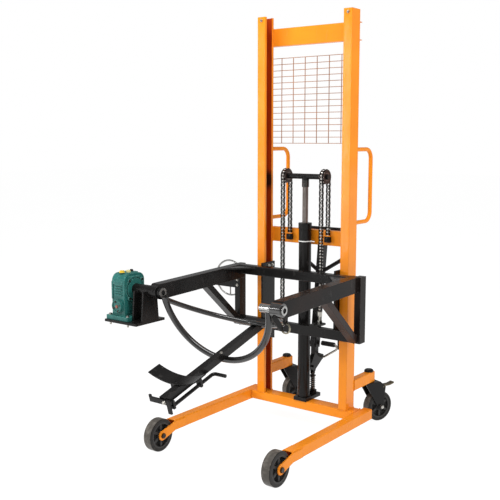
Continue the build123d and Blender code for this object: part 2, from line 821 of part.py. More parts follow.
# Pump: base block under the cylinder, pump barrel, and an upright ear for the lever pin
with BuildPart() as pump_body:
    with BuildSketch(Plane.XY.offset(leg_top)):
        with Locations((0, (pump_base_front + pump_base_back) / 2)):
            RectangleRounded(pump_base_width, pump_base_back - pump_base_front, tube_corner)
    extrude(amount=pump_base_thickness)
    with BuildSketch(Plane.XY.offset(pump_top)):
        with Locations((0, pump_y)):
            Circle(pump_barrel_radius)
    extrude(amount=pump_barrel_height)
    with BuildSketch(Plane.XY.offset(plunger_low - plunger_stroke)):
        with Locations((0, pump_y)):
            Circle(plunger_diameter / 2 + running_gap)
    extrude(amount=pump_base_thickness + pump_barrel_height, mode=Mode.SUBTRACT)
    ear_start = lever_thickness / 2 + side_play
    with BuildSketch(Plane.YZ.offset(-ear_start - ear_thickness)):
        with Locations((pivot_y, (pump_top + pivot_z) / 2)):
            Rectangle(2 * ear_radius, pivot_z - pump_top)
        with Locations((pivot_y, pivot_z)):
            Circle(ear_radius)
            Circle(pivot_pin / 2 + running_gap, mode=Mode.SUBTRACT)
    extrude(amount=ear_thickness)
pump_body.part.label = "pump_body"
export_step(pump_body.part, "parts/pump_body.step")

with BuildPart() as plunger:
    for step_low, step_radius, step_height in (
        (plunger_low, plunger_diameter / 2, plunger_top - plunger_low),
        (collar_z, collar_radius, collar_height),
        (plunger_top - plunger_head_height, plunger_head_radius, plunger_head_height),
    ):
        with BuildSketch(Plane.XY.offset(step_low)):
            with Locations((0, pump_y)):
                Circle(step_radius)
        extrude(amount=step_height)
plunger.part.label = "plunger"
export_step(plunger.part, "parts/plunger.step")

# Return spring: one wire wound between the pump barrel and the plunger collar
coil_radius = (spring_outer - spring_wire) / 2
coil_space = collar_z - pump_top - pump_barrel_height - 2 * seat_gap - spring_wire
coil_rise = coil_space / (2 * pi * spring_turns + 2 * spring_wire / coil_radius)
coil_low = collar_z - seat_gap - spring_wire / 2 - coil_space / 2 - coil_rise * pi * spring_turns


def coil_point(angle):
    return Vector(
        coil_radius * cos(angle),
        pump_y + coil_radius * sin(angle),
        coil_low + coil_rise * angle,
    )


def coil_tangent(angle):
    return Vector(-coil_radius * sin(angle), coil_radius * cos(angle), coil_rise).normalized()


def biarc_joint(start, end, start_tangent, end_tangent):
    chord = end - start
    tangent_sum = start_tangent + end_tangent
    spread = 2 * (1 - start_tangent.dot(end_tangent))
    along = chord.dot(tangent_sum)
    reach = (sqrt(along * along + spread * chord.dot(chord)) - along) / spread
    return (start + start_tangent * reach + end - end_tangent * reach) * 0.5


quarter = pi / 2
with BuildPart() as pump_spring:
    with BuildLine() as coil_path:
        Line(coil_point(0) - coil_tangent(0) * spring_wire, coil_point(0))
        for step in range(4 * spring_turns):
            here = coil_point(step * quarter)
            there = coil_point((step + 1) * quarter)
            leave = coil_tangent(step * quarter)
            arrive = coil_tangent((step + 1) * quarter)
            joint = biarc_joint(here, there, leave, arrive)
            first_arc = TangentArc(here, joint, tangent=leave)
            TangentArc(joint, there, tangent=first_arc % 1)
        coil_end = 4 * spring_turns * quarter
        Line(coil_point(coil_end), coil_point(coil_end) + coil_tangent(coil_end) * spring_wire)
    with BuildSketch(Plane(origin=coil_path.line @ 0, z_dir=coil_path.line % 0)):
        Circle(spring_wire / 2)
    sweep()
pump_spring.part.label = "pump_spring"
export_step(pump_spring.part, "parts/pump_spring.step")

samples_per_turn = 48
sample_count = samples_per_turn * spring_turns
coil_points = [coil_path.line @ (i / sample_count) for i in range(sample_count)]
least_gap = min(
    (coil_points[i] - coil_points[j]).length - spring_wire
    for i in range(len(coil_points))
    for j in range(i + samples_per_turn // 2, len(coil_points))
)
print(f"pump_spring least gap between turns {least_gap:.2f} mm")

# Hand lever: pump lever on its pin, leaning stem and loop grip
lever_nose_z = plunger_top + seat_gap + lever_nose
stem_dir = Vector(0, sin(radians(stem_lean)), cos(radians(stem_lean)))
stem_foot = Vector(0, stem_y, stem_z)
stem_plane = Plane(origin=stem_foot, x_dir=(1, 0, 0), z_dir=stem_dir)
loop_plane = Plane(origin=stem_foot, x_dir=(1, 0, 0), z_dir=Vector(1, 0, 0).cross(stem_dir))
with BuildPart() as hand_lever:
    with BuildSketch(Plane.YZ.offset(-lever_thickness / 2)):
        with BuildLine():
            Polyline(
                (pivot_y, pivot_z - lever_boss),
                (pump_y, lever_nose_z - lever_nose),
                (pump_y + lever_nose, lever_nose_z),
                (pedal_boss_y, pedal_boss_z - pedal_boss_radius),
                (pedal_boss_y, pedal_boss_z + pedal_boss_radius),
                (stem_y + stem_half, pedal_boss_z + 2 * pedal_boss_radius),
                (stem_y + stem_half, stem_z + stem_half),
                (stem_y - stem_half, stem_z + stem_half),
                (stem_y - stem_half, pedal_boss_z + 2 * pedal_boss_radius),
                (pivot_y, pivot_z + lever_boss),
                close=True,
            )
        make_face()
        with Locations((pivot_y, pivot_z)):
            Circle(lever_boss)
        with Locations((pump_y, lever_nose_z)):
            Circle(lever_nose)
        with Locations((pedal_boss_y, pedal_boss_z)):
            Circle(pedal_boss_radius)
            Circle(pedal_rod / 2 + running_gap, mode=Mode.SUBTRACT)
    extrude(amount=lever_thickness)
    pin_half = ear_start + ear_thickness + side_play
    with BuildSketch(Plane.YZ.offset(-pin_half)):
        with Locations((pivot_y, pivot_z)):
            Circle(pivot_pin / 2)
    extrude(amount=2 * pin_half)
    with BuildSketch(stem_plane):
        Rectangle(2 * stem_half, 2 * stem_half)
    extrude(amount=stem_length)
    with BuildLine(loop_plane) as loop_path:
        FilletPolyline(
            (0, loop_root),
            (loop_half_width, loop_shoulder),
            (loop_half_width, loop_top),
            (0, loop_top),
            radius=loop_bend,
        )
    with BuildSketch(Plane(origin=loop_path.line @ 0, z_dir=loop_path.line % 0)):
        Circle(loop_tube / 2)
    sweep()
    mirror(about=Plane.YZ)
    with BuildSketch(stem_plane.offset(stem_half + stem_wall)):
        Rectangle(2 * (stem_half - stem_wall), 2 * (stem_half - stem_wall))
    extrude(amount=loop_root - 2 * loop_tube, mode=Mode.SUBTRACT)
hand_lever.part.label = "hand_lever"
export_step(hand_lever.part, "parts/hand_lever.step")

# Foot pedal: bent rod in the lever's boss, with a sleeve on its upper run
with BuildPart() as foot_pedal:
    with BuildLine() as pedal_path:
        FilletPolyline(
            (-lever_thickness / 2, pedal_boss_y, pedal_boss_z),
            (pedal_rod_side, pedal_boss_y, pedal_boss_z),
            (pedal_rise_x, pedal_grip_y, pedal_rise_z),
            (pedal_rise_x, pedal_grip_y, pedal_grip_z),
            (pedal_rise_x - pedal_grip_length, pedal_grip_y, pedal_grip_z),
            radius=pedal_bend,
        )
    with BuildSketch(Plane(origin=pedal_path.line @ 0, z_dir=pedal_path.line % 0)):
        Circle(pedal_rod / 2)
    sweep()
foot_pedal.part.label = "foot_pedal"
export_step(foot_pedal.part, "parts/foot_pedal.step")

with BuildPart() as pedal_grip:
    with BuildSketch(Plane.YZ.offset(pedal_rise_x - pedal_grip_length - pedal_rod / 2)):
        with Locations((pedal_grip_y, pedal_grip_z)):
            Circle(pedal_grip_radius)
    extrude(amount=pedal_grip_length + pedal_rod / 2 - pedal_bend)
    fillet(pedal_grip.edges().filter_by(GeomType.CIRCLE), side_play)
    with BuildSketch(Plane.YZ.offset(pedal_rise_x - pedal_grip_length)):
        with Locations((pedal_grip_y, pedal_grip_z)):
            Circle(pedal_rod / 2)
    extrude(amount=pedal_grip_length, mode=Mode.SUBTRACT)
pedal_grip.part.label = "pedal_grip"
export_step(pedal_grip.part, "parts/pedal_grip.step")

# Carriage: upper beam with gusset plates in its corners
with BuildPart() as upper_beam:
    with BuildSketch(Plane.YZ.offset(left_arm_inner)):
        with Locations((upper_beam_front + upper_beam_size / 2, arm_top - upper_beam_size / 2)):
            RectangleRounded(upper_beam_size, upper_beam_size, tube_corner)
            Rectangle(upper_beam_size - 2 * beam_wall, upper_beam_size - 2 * beam_wall, mode=Mode.SUBTRACT)
    extrude(amount=2 * arm_inner)
    for side, sign in sides:
        corner_x = carriage_shift + sign * arm_inner
        with BuildSketch(Plane.XY.offset(arm_top - tube_corner - gusset_plate)):
            with BuildLine():
                Polyline(
                    (corner_x, upper_beam_front),
                    (corner_x - sign * gusset_along_beam, upper_beam_front),
                    (corner_x, upper_beam_front - gusset_along_arm),
                    close=True,
                )
            make_face()
        extrude(amount=gusset_plate)
upper_beam.part.label = "upper_beam"
export_step(upper_beam.part, "parts/upper_beam.step")

with BuildPart() as lower_beam:
    with BuildSketch(Plane.YZ.offset(-end_post_inner)):
        with Locations((end_post_front + lower_beam_depth / 2, end_post_low + lower_beam_height / 2)):
            Rectangle(lower_beam_depth, lower_beam_height)
            hollow_height = lower_beam_height - 2 * beam_wall
            Rectangle(lower_beam_depth - 2 * beam_wall, hollow_height, mode=Mode.SUBTRACT)
    extrude(amount=2 * end_post_inner)
    plate_depth = lower_beam_depth + anchor_plate_overhang
    with BuildSketch(Plane.XY.offset(lower_beam_top)):
        plate_middle = end_post_front + plate_depth / 2
        with Locations((-chain_x, plate_middle), (chain_x, plate_middle)):
            Rectangle(anchor_plate_width, plate_depth)
        with Locations((-chain_x, chain_front_y), (chain_x, chain_front_y)):
            Circle(anchor_stud / 2 + running_gap, mode=Mode.SUBTRACT)
    extrude(amount=anchor_plate_thickness)
lower_beam.part.label = "lower_beam"
export_step(lower_beam.part, "parts/lower_beam.step")

with BuildPart() as chain_anchors:
    for side, sign in sides:
        with BuildSketch(Plane.XY.offset(lower_beam_top - anchor_stud_below)):
            with Locations((sign * chain_x, chain_front_y)):
                Circle(anchor_stud / 2)
        extrude(amount=anchor_eye_low - lower_beam_top + anchor_stud_below)
        with BuildSketch(Plane.XY.offset(anchor_plate_top)):
            with Locations((sign * chain_x, chain_front_y)):
                RegularPolygon(anchor_nut_radius, 6)
        extrude(amount=anchor_nut_height)
        with BuildSketch(Plane.XY.offset(anchor_eye_low)):
            with Locations((sign * chain_x, chain_front_y)):
                Rectangle(anchor_eye_width, chain_height)
        extrude(amount=anchor_eye_height)
chain_anchors.part.label = "chain_anchors"
export_step(chain_anchors.part, "parts/chain_anchors.step")

# Side arms: box tubes that fall a little to the front, each on an upright end post.
# A sleeve across the nose bears the trunnion. The left arm also carries the bracket of the
# handwheel shaft, and the right one a stop bar under its nose and the eye of the tie ring.
tie_lug_dir = Vector(0, sin(radians(tie_lug_angle)), -cos(radians(tie_lug_angle)))
tie_lug_root = Vector(tie_lug_x, trunnion_y - tie_lug_ahead, trunnion_z - tie_lug_below)
tie_plane = Plane(origin=tie_lug_root, x_dir=-tie_lug_dir, z_dir=(1, 0, 0))


def arm_line(along, below):
    return (along, arm_top - below - arm_slope * (arm_rear - along))


arm_front = trunnion_y - arm_nose
hollow_rear = arm_rear - arm_wall
hollow_front = trunnion_y + nose_solid
for side, sign in sides:
    arm_left = carriage_shift + sign * (arm_inner + arm_width / 2) - arm_width / 2
    vent_x = carriage_shift + sign * (arm_inner + arm_wall + vent_radius)
    end_post_x = sign * (end_post_inner + end_post_width / 2)
    with BuildPart() as carriage_arm:
        with BuildSketch(Plane.YZ.offset(arm_left)):
            with BuildLine():
                Polyline(
                    arm_line(arm_rear, 0),
                    arm_line(arm_front, 0),
                    arm_line(arm_front, arm_height),
                    arm_line(arm_rear, arm_height),
                    close=True,
                )
            make_face()
        extrude(amount=arm_width)
        fillet(carriage_arm.edges().filter_by(Axis.X).group_by(Axis.Y)[0], arm_nose_round)
        with BuildSketch(Plane.YZ.offset(arm_left + arm_wall)):
            with BuildLine():
                Polyline(
                    arm_line(hollow_rear, arm_wall),
                    arm_line(hollow_front, arm_wall),
                    arm_line(hollow_front, arm_height - arm_wall),
                    arm_line(hollow_rear, arm_height - arm_wall),
                    close=True,
                )
            make_face()
        extrude(amount=arm_width - 2 * arm_wall, mode=Mode.SUBTRACT)
        with BuildSketch(Plane.XZ.offset(-arm_rear)):
            with Locations((vent_x, arm_top - arm_height / 2)):
                Circle(vent_radius)
        extrude(amount=2 * arm_wall, mode=Mode.SUBTRACT)
        sleeve_length = arm_width + (sleeve_proud if side == "right" else 0)
        with BuildSketch(Plane.YZ.offset(arm_left)):
            with Locations((trunnion_y, trunnion_z)):
                Circle(arm_sleeve / 2)
        extrude(amount=sleeve_length)
        if side == "right":
            with BuildSketch(tie_plane):
                with Locations((-tie_lug_length / 2, 0)):
                    Rectangle(tie_lug_length, tie_lug_width)
                with Locations((-tie_lug_length, 0)):
                    Circle(tie_lug_width / 2)
            extrude(amount=tie_lug_thickness)
            tie_eye_top = arm_line(tie_eye_y, arm_height)[1] + arm_wall / 2
            with BuildSketch(Plane.YZ.offset(tie_lug_x)):
                with Locations((tie_eye_y, (tie_eye_z + tie_eye_top) / 2)):
                    Rectangle(tie_eye_width, tie_eye_top - tie_eye_z)
                with Locations((tie_eye_y, tie_eye_z)):
                    Circle(tie_eye_width / 2)
                    Circle(tie_hole_radius, mode=Mode.SUBTRACT)
            extrude(amount=tie_lug_thickness)
        with BuildSketch(Plane.YZ.offset(arm_left)):
            with Locations((trunnion_y, trunnion_z)):
                Circle(trunnion_diameter / 2 + running_gap)
        extrude(amount=sleeve_length, mode=Mode.SUBTRACT)
        with BuildSketch(Plane.XY.offset(end_post_low)):
            with Locations((end_post_x, end_post_front + end_post_depth / 2)):
                Rectangle(end_post_width, end_post_depth)
        extrude(amount=arm_top - end_post_low)
        if side == "left":
            bracket_left = gear_x - shaft_bracket_reach
            bracket_right = -end_post_inner - end_post_width
            bracket_along = shaft_bracket_back - shaft_bracket_thickness / 2 - trunnion_y
            bracket_z = worm_z + bracket_along * shaft_dir.Z / shaft_dir.Y
            with BuildSketch(Plane.XZ.offset(-shaft_bracket_back)):
                with Locations(((bracket_left + bracket_right) / 2, bracket_z)):
                    Rectangle(bracket_right - bracket_left, shaft_bracket_height)
            extrude(amount=shaft_bracket_thickness)
            with BuildSketch(shaft_frame):
                Circle(worm_shaft_diameter / 2 + running_gap)
            extrude(amount=shaft_reach, mode=Mode.SUBTRACT)
    carriage_arm.part.label = f"carriage_arm_{side}"
    export_step(carriage_arm.part, f"parts/carriage_arm_{side}.step")

    # Diagonal brace from the foot of the end post to the underside of the arm
    brace_head = end_post_front - brace_reach
    brace_rise = arm_line(brace_head, arm_height)[1] - end_post_low
    brace_run = sqrt(brace_reach ** 2 + brace_rise ** 2)
    with BuildPart() as arm_brace:
        with BuildSketch(Plane.YZ.offset(arm_left + brace_inset)):
            with BuildLine():
                Polyline(
                    (end_post_front, end_post_low),
                    arm_line(brace_head, arm_height),
                    arm_line(brace_head + brace_thickness * brace_run / brace_rise, arm_height),
                    (end_post_front, end_post_low + brace_thickness * brace_run / brace_reach),
                    close=True,
                )
            make_face()
        extrude(amount=arm_width - 2 * brace_inset)
    arm_brace.part.label = f"arm_brace_{side}"
    export_step(arm_brace.part, f"parts/arm_brace_{side}.step")

    # Roller plate behind the beams, with two stub axles that enter the mast channel
    plate_x = sign * (roller_plate_inner + roller_plate_thickness / 2)
    collar_start = roller_plate_inner + roller_plate_thickness
    collar_length = roller_inner - seat_gap - collar_start
    axle_length = roller_inner + roller_width + roller_axle_end - collar_start
    with BuildPart() as roller_plate:
        with BuildSketch(Plane.YZ.offset(plate_x - roller_plate_thickness / 2)):
            with BuildLine():
                Polyline(
                    (upper_beam_back, roller_plate_top),
                    (post_depth - roller_plate_gap, roller_plate_top),
                    (post_depth - roller_plate_gap, roller_plate_low),
                    (roller_plate_tongue, roller_plate_low + roller_plate_toe),
                    (roller_plate_tongue, end_post_low),
                    (lower_beam_back, end_post_low),
                    (lower_beam_back, lower_beam_top),
                    (upper_beam_back, lower_beam_top),
                    close=True,
                )
            make_face()
        extrude(amount=roller_plate_thickness)
        for height_name, roller_z in roller_heights:
            with BuildSketch(Plane.YZ.offset(sign * collar_start)):
                with Locations((roller_y, roller_z)):
                    Circle(roller_collar / 2)
            extrude(amount=sign * collar_length)
            with BuildSketch(Plane.YZ.offset(sign * collar_start)):
                with Locations((roller_y, roller_z)):
                    Circle(roller_axle / 2)
            extrude(amount=sign * axle_length)
    roller_plate.part.label = f"roller_plate_{side}"
    export_step(roller_plate.part, f"parts/roller_plate_{side}.step")

# Guide rollers inside the mast channels, one pair on each axis
for height_name, roller_z in roller_heights:
    with BuildPart() as guide_rollers:
        for side, sign in sides:
            with BuildSketch(Plane.YZ.offset(sign * (roller_inner + roller_width / 2) - roller_width / 2)):
                with Locations((roller_y, roller_z)):
                    Circle(roller_radius)
                    Circle(roller_axle / 2 + running_gap, mode=Mode.SUBTRACT)
            extrude(amount=roller_width)
    guide_rollers.part.label = f"{height_name}_guide_rollers"
    export_step(guide_rollers.part, f"parts/{height_name}_guide_rollers.step")

# Gear platform: shelf under the reducer, hung by two plates from the left trunnion's bearing tube
with BuildPart() as gear_platform:
    platform_left = gear_x - case_base_left
    with BuildSketch(Plane.XY.offset(case_bottom - platform_thickness)):
        with Locations(((platform_left + platform_right) / 2, (platform_front + platform_back) / 2)):
            Rectangle(platform_right - platform_left, platform_back - platform_front)
    extrude(amount=platform_thickness)
    tube_left = case_right + seat_gap
    with BuildSketch(Plane.YZ.offset(tube_left)):
        with Locations((trunnion_y, trunnion_z)):
            Circle(bearing_tube / 2)
    extrude(amount=left_arm_outer - tube_left)
    hanger_left = gear_x + case_base_right + side_play
    for hanger_x in (hanger_left, platform_right - hanger_thickness):
        with BuildSketch(Plane.YZ.offset(hanger_x)):
            with BuildLine():
                Polyline(
                    (trunnion_y - hanger_foot_width / 2, case_bottom),
                    (trunnion_y - hanger_top_width / 2, trunnion_z),
                    (trunnion_y + hanger_top_width / 2, trunnion_z),
                    (trunnion_y + hanger_foot_width / 2, case_bottom),
                    close=True,
                )
            make_face()
        extrude(amount=hanger_thickness)
    with BuildSketch(Plane.YZ.offset(tube_left)):
        with Locations((trunnion_y, trunnion_z)):
            Circle(trunnion_diameter / 2 + running_gap)
    extrude(amount=left_arm_outer - tube_left, mode=Mode.SUBTRACT)
gear_platform.part.label = "gear_platform"
export_step(gear_platform.part, "parts/gear_platform.step")

# Reducer case: cast shell with rounded shoulders, feet, bearing covers and the two shaft bores
with BuildPart() as gear_case:
    with BuildSketch(Plane.YZ.offset(gear_x - case_half_width)):
        with Locations((trunnion_y, (case_bottom + case_top) / 2)):
            Rectangle(2 * case_half_length, case_top - case_bottom)
    extrude(amount=2 * case_half_width)
    fillet(gear_case.edges().filter_by(Axis.X).group_by(Axis.Z)[-1], case_top_round)
    with BuildSketch(Plane.XY.offset(case_bottom)):
        with Locations((gear_x + (case_base_right - case_base_left) / 2, trunnion_y)):
            RectangleRounded(case_base_left + case_base_right, 2 * case_base_half_length, tube_corner)
    extrude(amount=case_base_thickness)
    with BuildSketch(Plane.YZ.offset(gear_x - case_half_width - output_cover_thickness)):
        with Locations((trunnion_y, trunnion_z)):
            Circle(output_cover_radius)
    extrude(amount=2 * (case_half_width + output_cover_thickness))
    with BuildSketch(shaft_frame.offset(-case_half_length - worm_cover_thickness)):
        Circle(worm_cover_radius)
    extrude(amount=2 * (case_half_length + worm_cover_thickness))
    cavity_low = case_bottom + case_base_thickness
    cavity_half = case_half_length - case_wall
    cavity_top = case_top - case_wall
    with BuildSketch(Plane.YZ.offset(gear_x - case_half_width + case_wall)):
        with Locations((trunnion_y, (cavity_low + cavity_top) / 2)):
            RectangleRounded(2 * cavity_half, cavity_top - cavity_low, case_top_round - case_wall)
    extrude(amount=2 * (case_half_width - case_wall), mode=Mode.SUBTRACT)
    with BuildSketch(Plane.YZ.offset(gear_x)):
        with Locations((trunnion_y, trunnion_z)):
            Circle(trunnion_diameter / 2 + running_gap)
    extrude(amount=case_half_width + output_cover_thickness, mode=Mode.SUBTRACT)
    with BuildSketch(shaft_frame.offset(-case_half_length)):
        Circle(worm_shaft_diameter / 2 + running_gap)
    extrude(amount=2 * case_half_length + worm_cover_thickness, mode=Mode.SUBTRACT)
gear_case.part.label = "gear_case"
export_step(gear_case.part, "parts/gear_case.step")

# Worm shaft and handwheel, beside the left arm
with BuildPart() as worm_shaft:
    with BuildSketch(shaft_frame.offset(seat_gap - case_half_length)):
        Circle(worm_shaft_diameter / 2)
    extrude(amount=case_half_length - seat_gap + shaft_reach + handwheel_hub_length / 2)
    with BuildSketch(shaft_frame.offset(-worm_length / 2)):
        Circle(worm_radius)
    extrude(amount=worm_length)
worm_shaft.part.label = "worm_shaft"
export_step(worm_shaft.part, "parts/worm_shaft.step")

wheel_up = Vector(1, 0, 0).cross(shaft_dir)
with BuildPart() as handwheel:
    rim_origin = wheel_centre + wheel_up * handwheel_radius
    with BuildSketch(Plane(origin=rim_origin, x_dir=shaft_dir, z_dir=(1, 0, 0))):
        Circle(handwheel_rim / 2)
    revolve(axis=Axis(wheel_centre, shaft_dir), revolution_arc=360)
    for spoke in range(handwheel_spokes):
        spoke_turn = radians(handwheel_first_spoke + 360 * spoke / handwheel_spokes)
        spoke_dir = Vector(cos(spoke_turn), 0, 0) + wheel_up * sin(spoke_turn)
        with BuildSketch(Plane(origin=wheel_centre, x_dir=shaft_dir, z_dir=spoke_dir)):
            Circle(handwheel_spoke / 2)
        extrude(amount=handwheel_radius)
    with BuildSketch(shaft_frame.offset(shaft_reach - handwheel_hub_length / 2)):
        Circle(handwheel_hub_radius)
    extrude(amount=handwheel_hub_length)
    with BuildSketch(shaft_frame.offset(shaft_reach - handwheel_hub_length / 2)):
        Circle(worm_shaft_diameter / 2 + running_gap)
    extrude(amount=handwheel_hub_length, mode=Mode.SUBTRACT)
handwheel.part.label = "handwheel"
export_step(handwheel.part, "parts/handwheel.step")

# Trunnions: the left one runs into the reducer, the right one ends in a ring outside its arm
with BuildPart() as trunnion_left:
    shaft_left = gear_x - case_half_width + case_wall + seat_gap
    with BuildSketch(Plane.YZ.offset(shaft_left)):
        with Locations((trunnion_y, trunnion_z)):
            Circle(trunnion_diameter / 2)
    extrude(amount=left_hub_face - shaft_left)
    with BuildSketch(Plane.YZ.offset(left_hub_face)):
        with Locations((trunnion_y, trunnion_z)):
            Circle(hub_radius)
    extrude(amount=left_hub_length)
    with BuildSketch(Plane.YZ.offset(left_hub_face + left_hub_length - hub_recess)):
        with Locations((trunnion_y, trunnion_z)):
            Circle(hub_recess_radius)
    extrude(amount=hub_recess, mode=Mode.SUBTRACT)
trunnion_left.part.label = "trunnion_left"
export_step(trunnion_left.part, "parts/trunnion_left.step")

with BuildPart() as worm_wheel:
    with BuildSketch(Plane.YZ.offset(gear_x - worm_wheel_width / 2)):
        with Locations((trunnion_y, trunnion_z)):
            Circle(worm_wheel_radius)
            Circle(trunnion_diameter / 2, mode=Mode.SUBTRACT)
    extrude(amount=worm_wheel_width)
worm_wheel.part.label = "worm_wheel"
export_step(worm_wheel.part, "parts/worm_wheel.step")

with BuildPart() as trunnion_right:
    with BuildSketch(Plane.YZ.offset(right_hub_face - right_tube_length)):
        with Locations((trunnion_y, trunnion_z)):
            Circle(right_tube_radius)
    extrude(amount=right_tube_length)
    with BuildSketch(Plane.YZ.offset(right_hub_face)):
        with Locations((trunnion_y, trunnion_z)):
            Circle(trunnion_diameter / 2)
    extrude(amount=end_ring_face - right_hub_face)
    with BuildSketch(Plane.YZ.offset(end_ring_face)):
        with Locations((trunnion_y, trunnion_z)):
            Circle(end_ring_radius)
    extrude(amount=end_ring_thickness)
    with BuildSketch(Plane.YZ.offset(end_ring_face + end_ring_thickness - hub_recess)):
        with Locations((trunnion_y, trunnion_z)):
            Circle(hub_recess_radius)
    extrude(amount=hub_recess, mode=Mode.SUBTRACT)
trunnion_right.part.label = "trunnion_right"
export_step(trunnion_right.part, "parts/trunnion_right.step")

# The ring hangs in the eye, its wire just clear of the hole's lower edge
ring_x = tie_lug_x + tie_lug_thickness / 2
ring_inner = tie_ring_radius - tie_ring_wire / 2
ring_dip = ring_inner - sqrt(ring_inner ** 2 - (tie_lug_thickness / 2) ** 2)
ring_top = tie_eye_z - tie_hole_radius + tie_ring_wire / 2 + ring_dip + seat_gap
with BuildPart() as tie_ring:
    with BuildSketch(Plane.YZ.offset(ring_x)):
        with Locations((tie_eye_y, ring_top)):
            Circle(tie_ring_wire / 2)
    revolve(axis=Axis((ring_x, tie_eye_y, ring_top - tie_ring_radius), (0, 1, 0)), revolution_arc=360)
tie_ring.part.label = "tie_ring"
export_step(tie_ring.part, "parts/tie_ring.step")

# Cradle: a half hoop on the trunnions, the spine inside it, and a stay from the hoop's ends to the spine
with BuildPart() as main_hoop:
    with BuildLine(cradle_frame) as main_hoop_path:
        CenterArc((0, 0), hoop_radius, 180, 180)
    with BuildSketch(Plane(origin=main_hoop_path.line @ 0, z_dir=main_hoop_path.line % 0)):
        Circle(hoop_tube / 2)
    sweep()
    for hub_left, hub_size in ((left_arm_inner, hub_radius), (carriage_shift, right_tube_radius)):
        with BuildSketch(Plane.YZ.offset(hub_left)):
            with Locations((trunnion_y, trunnion_z)):
                Circle(hub_size)
        extrude(amount=arm_inner, mode=Mode.SUBTRACT)
    with BuildSketch(cradle_frame.offset(spine_back)):
        with Locations((0, -spine_depth)):
            Rectangle(spine_size, spine_size)
    extrude(amount=spine_front - spine_back, mode=Mode.SUBTRACT)
main_hoop.part.label = "main_hoop"
export_step(main_hoop.part, "parts/main_hoop.step")

with BuildPart() as stay_hoop:
    with BuildLine(stay_plane) as stay_hoop_path:
        ThreePointArc((-stay_half_chord, 0), (0, stay_reach.length), (stay_half_chord, 0))
    with BuildSketch(Plane(origin=stay_hoop_path.line @ 0, z_dir=stay_hoop_path.line % 0)):
        Circle(stay_bar / 2)
    sweep()
    for hub_left, hub_size in ((left_arm_inner, hub_radius), (carriage_shift, right_tube_radius)):
        with BuildSketch(Plane.YZ.offset(hub_left)):
            with Locations((trunnion_y, trunnion_z)):
                Circle(hub_size)
        extrude(amount=arm_inner, mode=Mode.SUBTRACT)
    add(main_hoop.part, mode=Mode.SUBTRACT)
stay_hoop.part.label = "stay_hoop"
export_step(stay_hoop.part, "parts/stay_hoop.step")

with BuildPart() as spine:
    with BuildSketch(cradle_frame.offset(spine_back)):
        with Locations((0, -spine_depth)):
            Rectangle(spine_size, spine_size)
            Rectangle(spine_size - 2 * spine_wall, spine_size - 2 * spine_wall, mode=Mode.SUBTRACT)
    extrude(amount=spine_front - spine_back)
    lug_right = hook_rod_x + hook_rod / 2 + rod_lug_wall
    rod_lug_low = hook_rod_depth + hook_rod / 2 + rod_lug_wall
    for lug_start in (rod_lug_first, rod_lug_second):
        with BuildSketch(cradle_frame.offset(lug_start)):
            with Locations(((spine_size / 2 + lug_right) / 2, -(rod_lug_depth + rod_lug_low) / 2)):
                Rectangle(lug_right - spine_size / 2, rod_lug_low - rod_lug_depth)
            with Locations((hook_rod_x, -hook_rod_depth)):
                Circle(hook_rod / 2 + running_gap, mode=Mode.SUBTRACT)
        extrude(amount=rod_lug_length)
spine.part.label = "spine"
export_step(spine.part, "parts/spine.step")

with BuildPart() as saddle:
    saddle_half_angle = degrees(asin(saddle_chord / 2 / drum_radius))
    saddle_outer = drum_radius + saddle_thickness
    saddle_lean = saddle_x + spine_size / 2
    saddle_centre = (saddle_x, sqrt(saddle_outer ** 2 - saddle_lean ** 2) - spine_top)
    with BuildSketch(cradle_frame.offset(saddle_start)):
        with BuildLine():
            under = CenterArc(saddle_centre, saddle_outer, 270 - saddle_half_angle, 2 * saddle_half_angle)
            over = CenterArc(saddle_centre, drum_radius, 270 - saddle_half_angle, 2 * saddle_half_angle)
            Line(under @ 0, over @ 0)
            Line(under @ 1, over @ 1)
        make_face()
    extrude(amount=saddle_width)
    block_top = saddle_outer - saddle_centre[1] - saddle_thickness / 2
    block_low = spine_top + saddle_block_drop
    with BuildSketch(cradle_frame.offset(saddle_block_start)):
        with Locations(((saddle_block_left - spine_size / 2) / 2, -(block_top + block_low) / 2)):
            Rectangle(-spine_size / 2 - saddle_block_left, block_low - block_top)
    extrude(amount=saddle_block_length)
saddle.part.label = "saddle"
export_step(saddle.part, "parts/saddle.step")

# Rim hook: cross bar at the spine's end, turned by a crank rod along the spine
hook_plane = Plane(
    origin=trunnion_point + depth_dir * hook_rod_depth,
    x_dir=(1, 0, 0),
    z_dir=depth_dir,
)
hook_start = spine_front + seat_gap
with BuildPart() as rim_hook:
    with BuildLine(hook_plane):
        FilletPolyline(
            (hook_handle_x, hook_rod_back),
            (hook_rod_x, hook_rod_back),
            (hook_rod_x, hook_start + hook_thickness / 2),
            radius=hook_rod_bend,
        )
    with BuildSketch(cradle_frame.offset(hook_start + hook_thickness / 2)):
        with Locations((hook_rod_x, -hook_rod_depth)):
            Circle(hook_rod / 2)
    sweep()
    bar_low = -hook_bar_depth - hook_bar_height / 2
    bar_top = -hook_bar_depth + hook_bar_height / 2
    tail_left = hook_rod_x - hook_tail_width / 2
    tail_right = hook_rod_x + hook_tail_width / 2
    with BuildSketch(cradle_frame.offset(hook_start)):
        with BuildLine():
            Polyline(
                (-hook_left, bar_low),
                (tail_left, bar_low),
                (tail_left, -hook_tail_depth),
                (tail_right, -hook_tail_depth),
                (tail_right, bar_top),
                (hook_nub_width - hook_left, bar_top),
                (hook_nub_width - hook_left, bar_top + hook_nub_height),
                (-hook_left, bar_top + hook_nub_height),
                close=True,
            )
        make_face()
    extrude(amount=hook_thickness)
rim_hook.part.label = "rim_hook"
export_step(rim_hook.part, "parts/rim_hook.step")
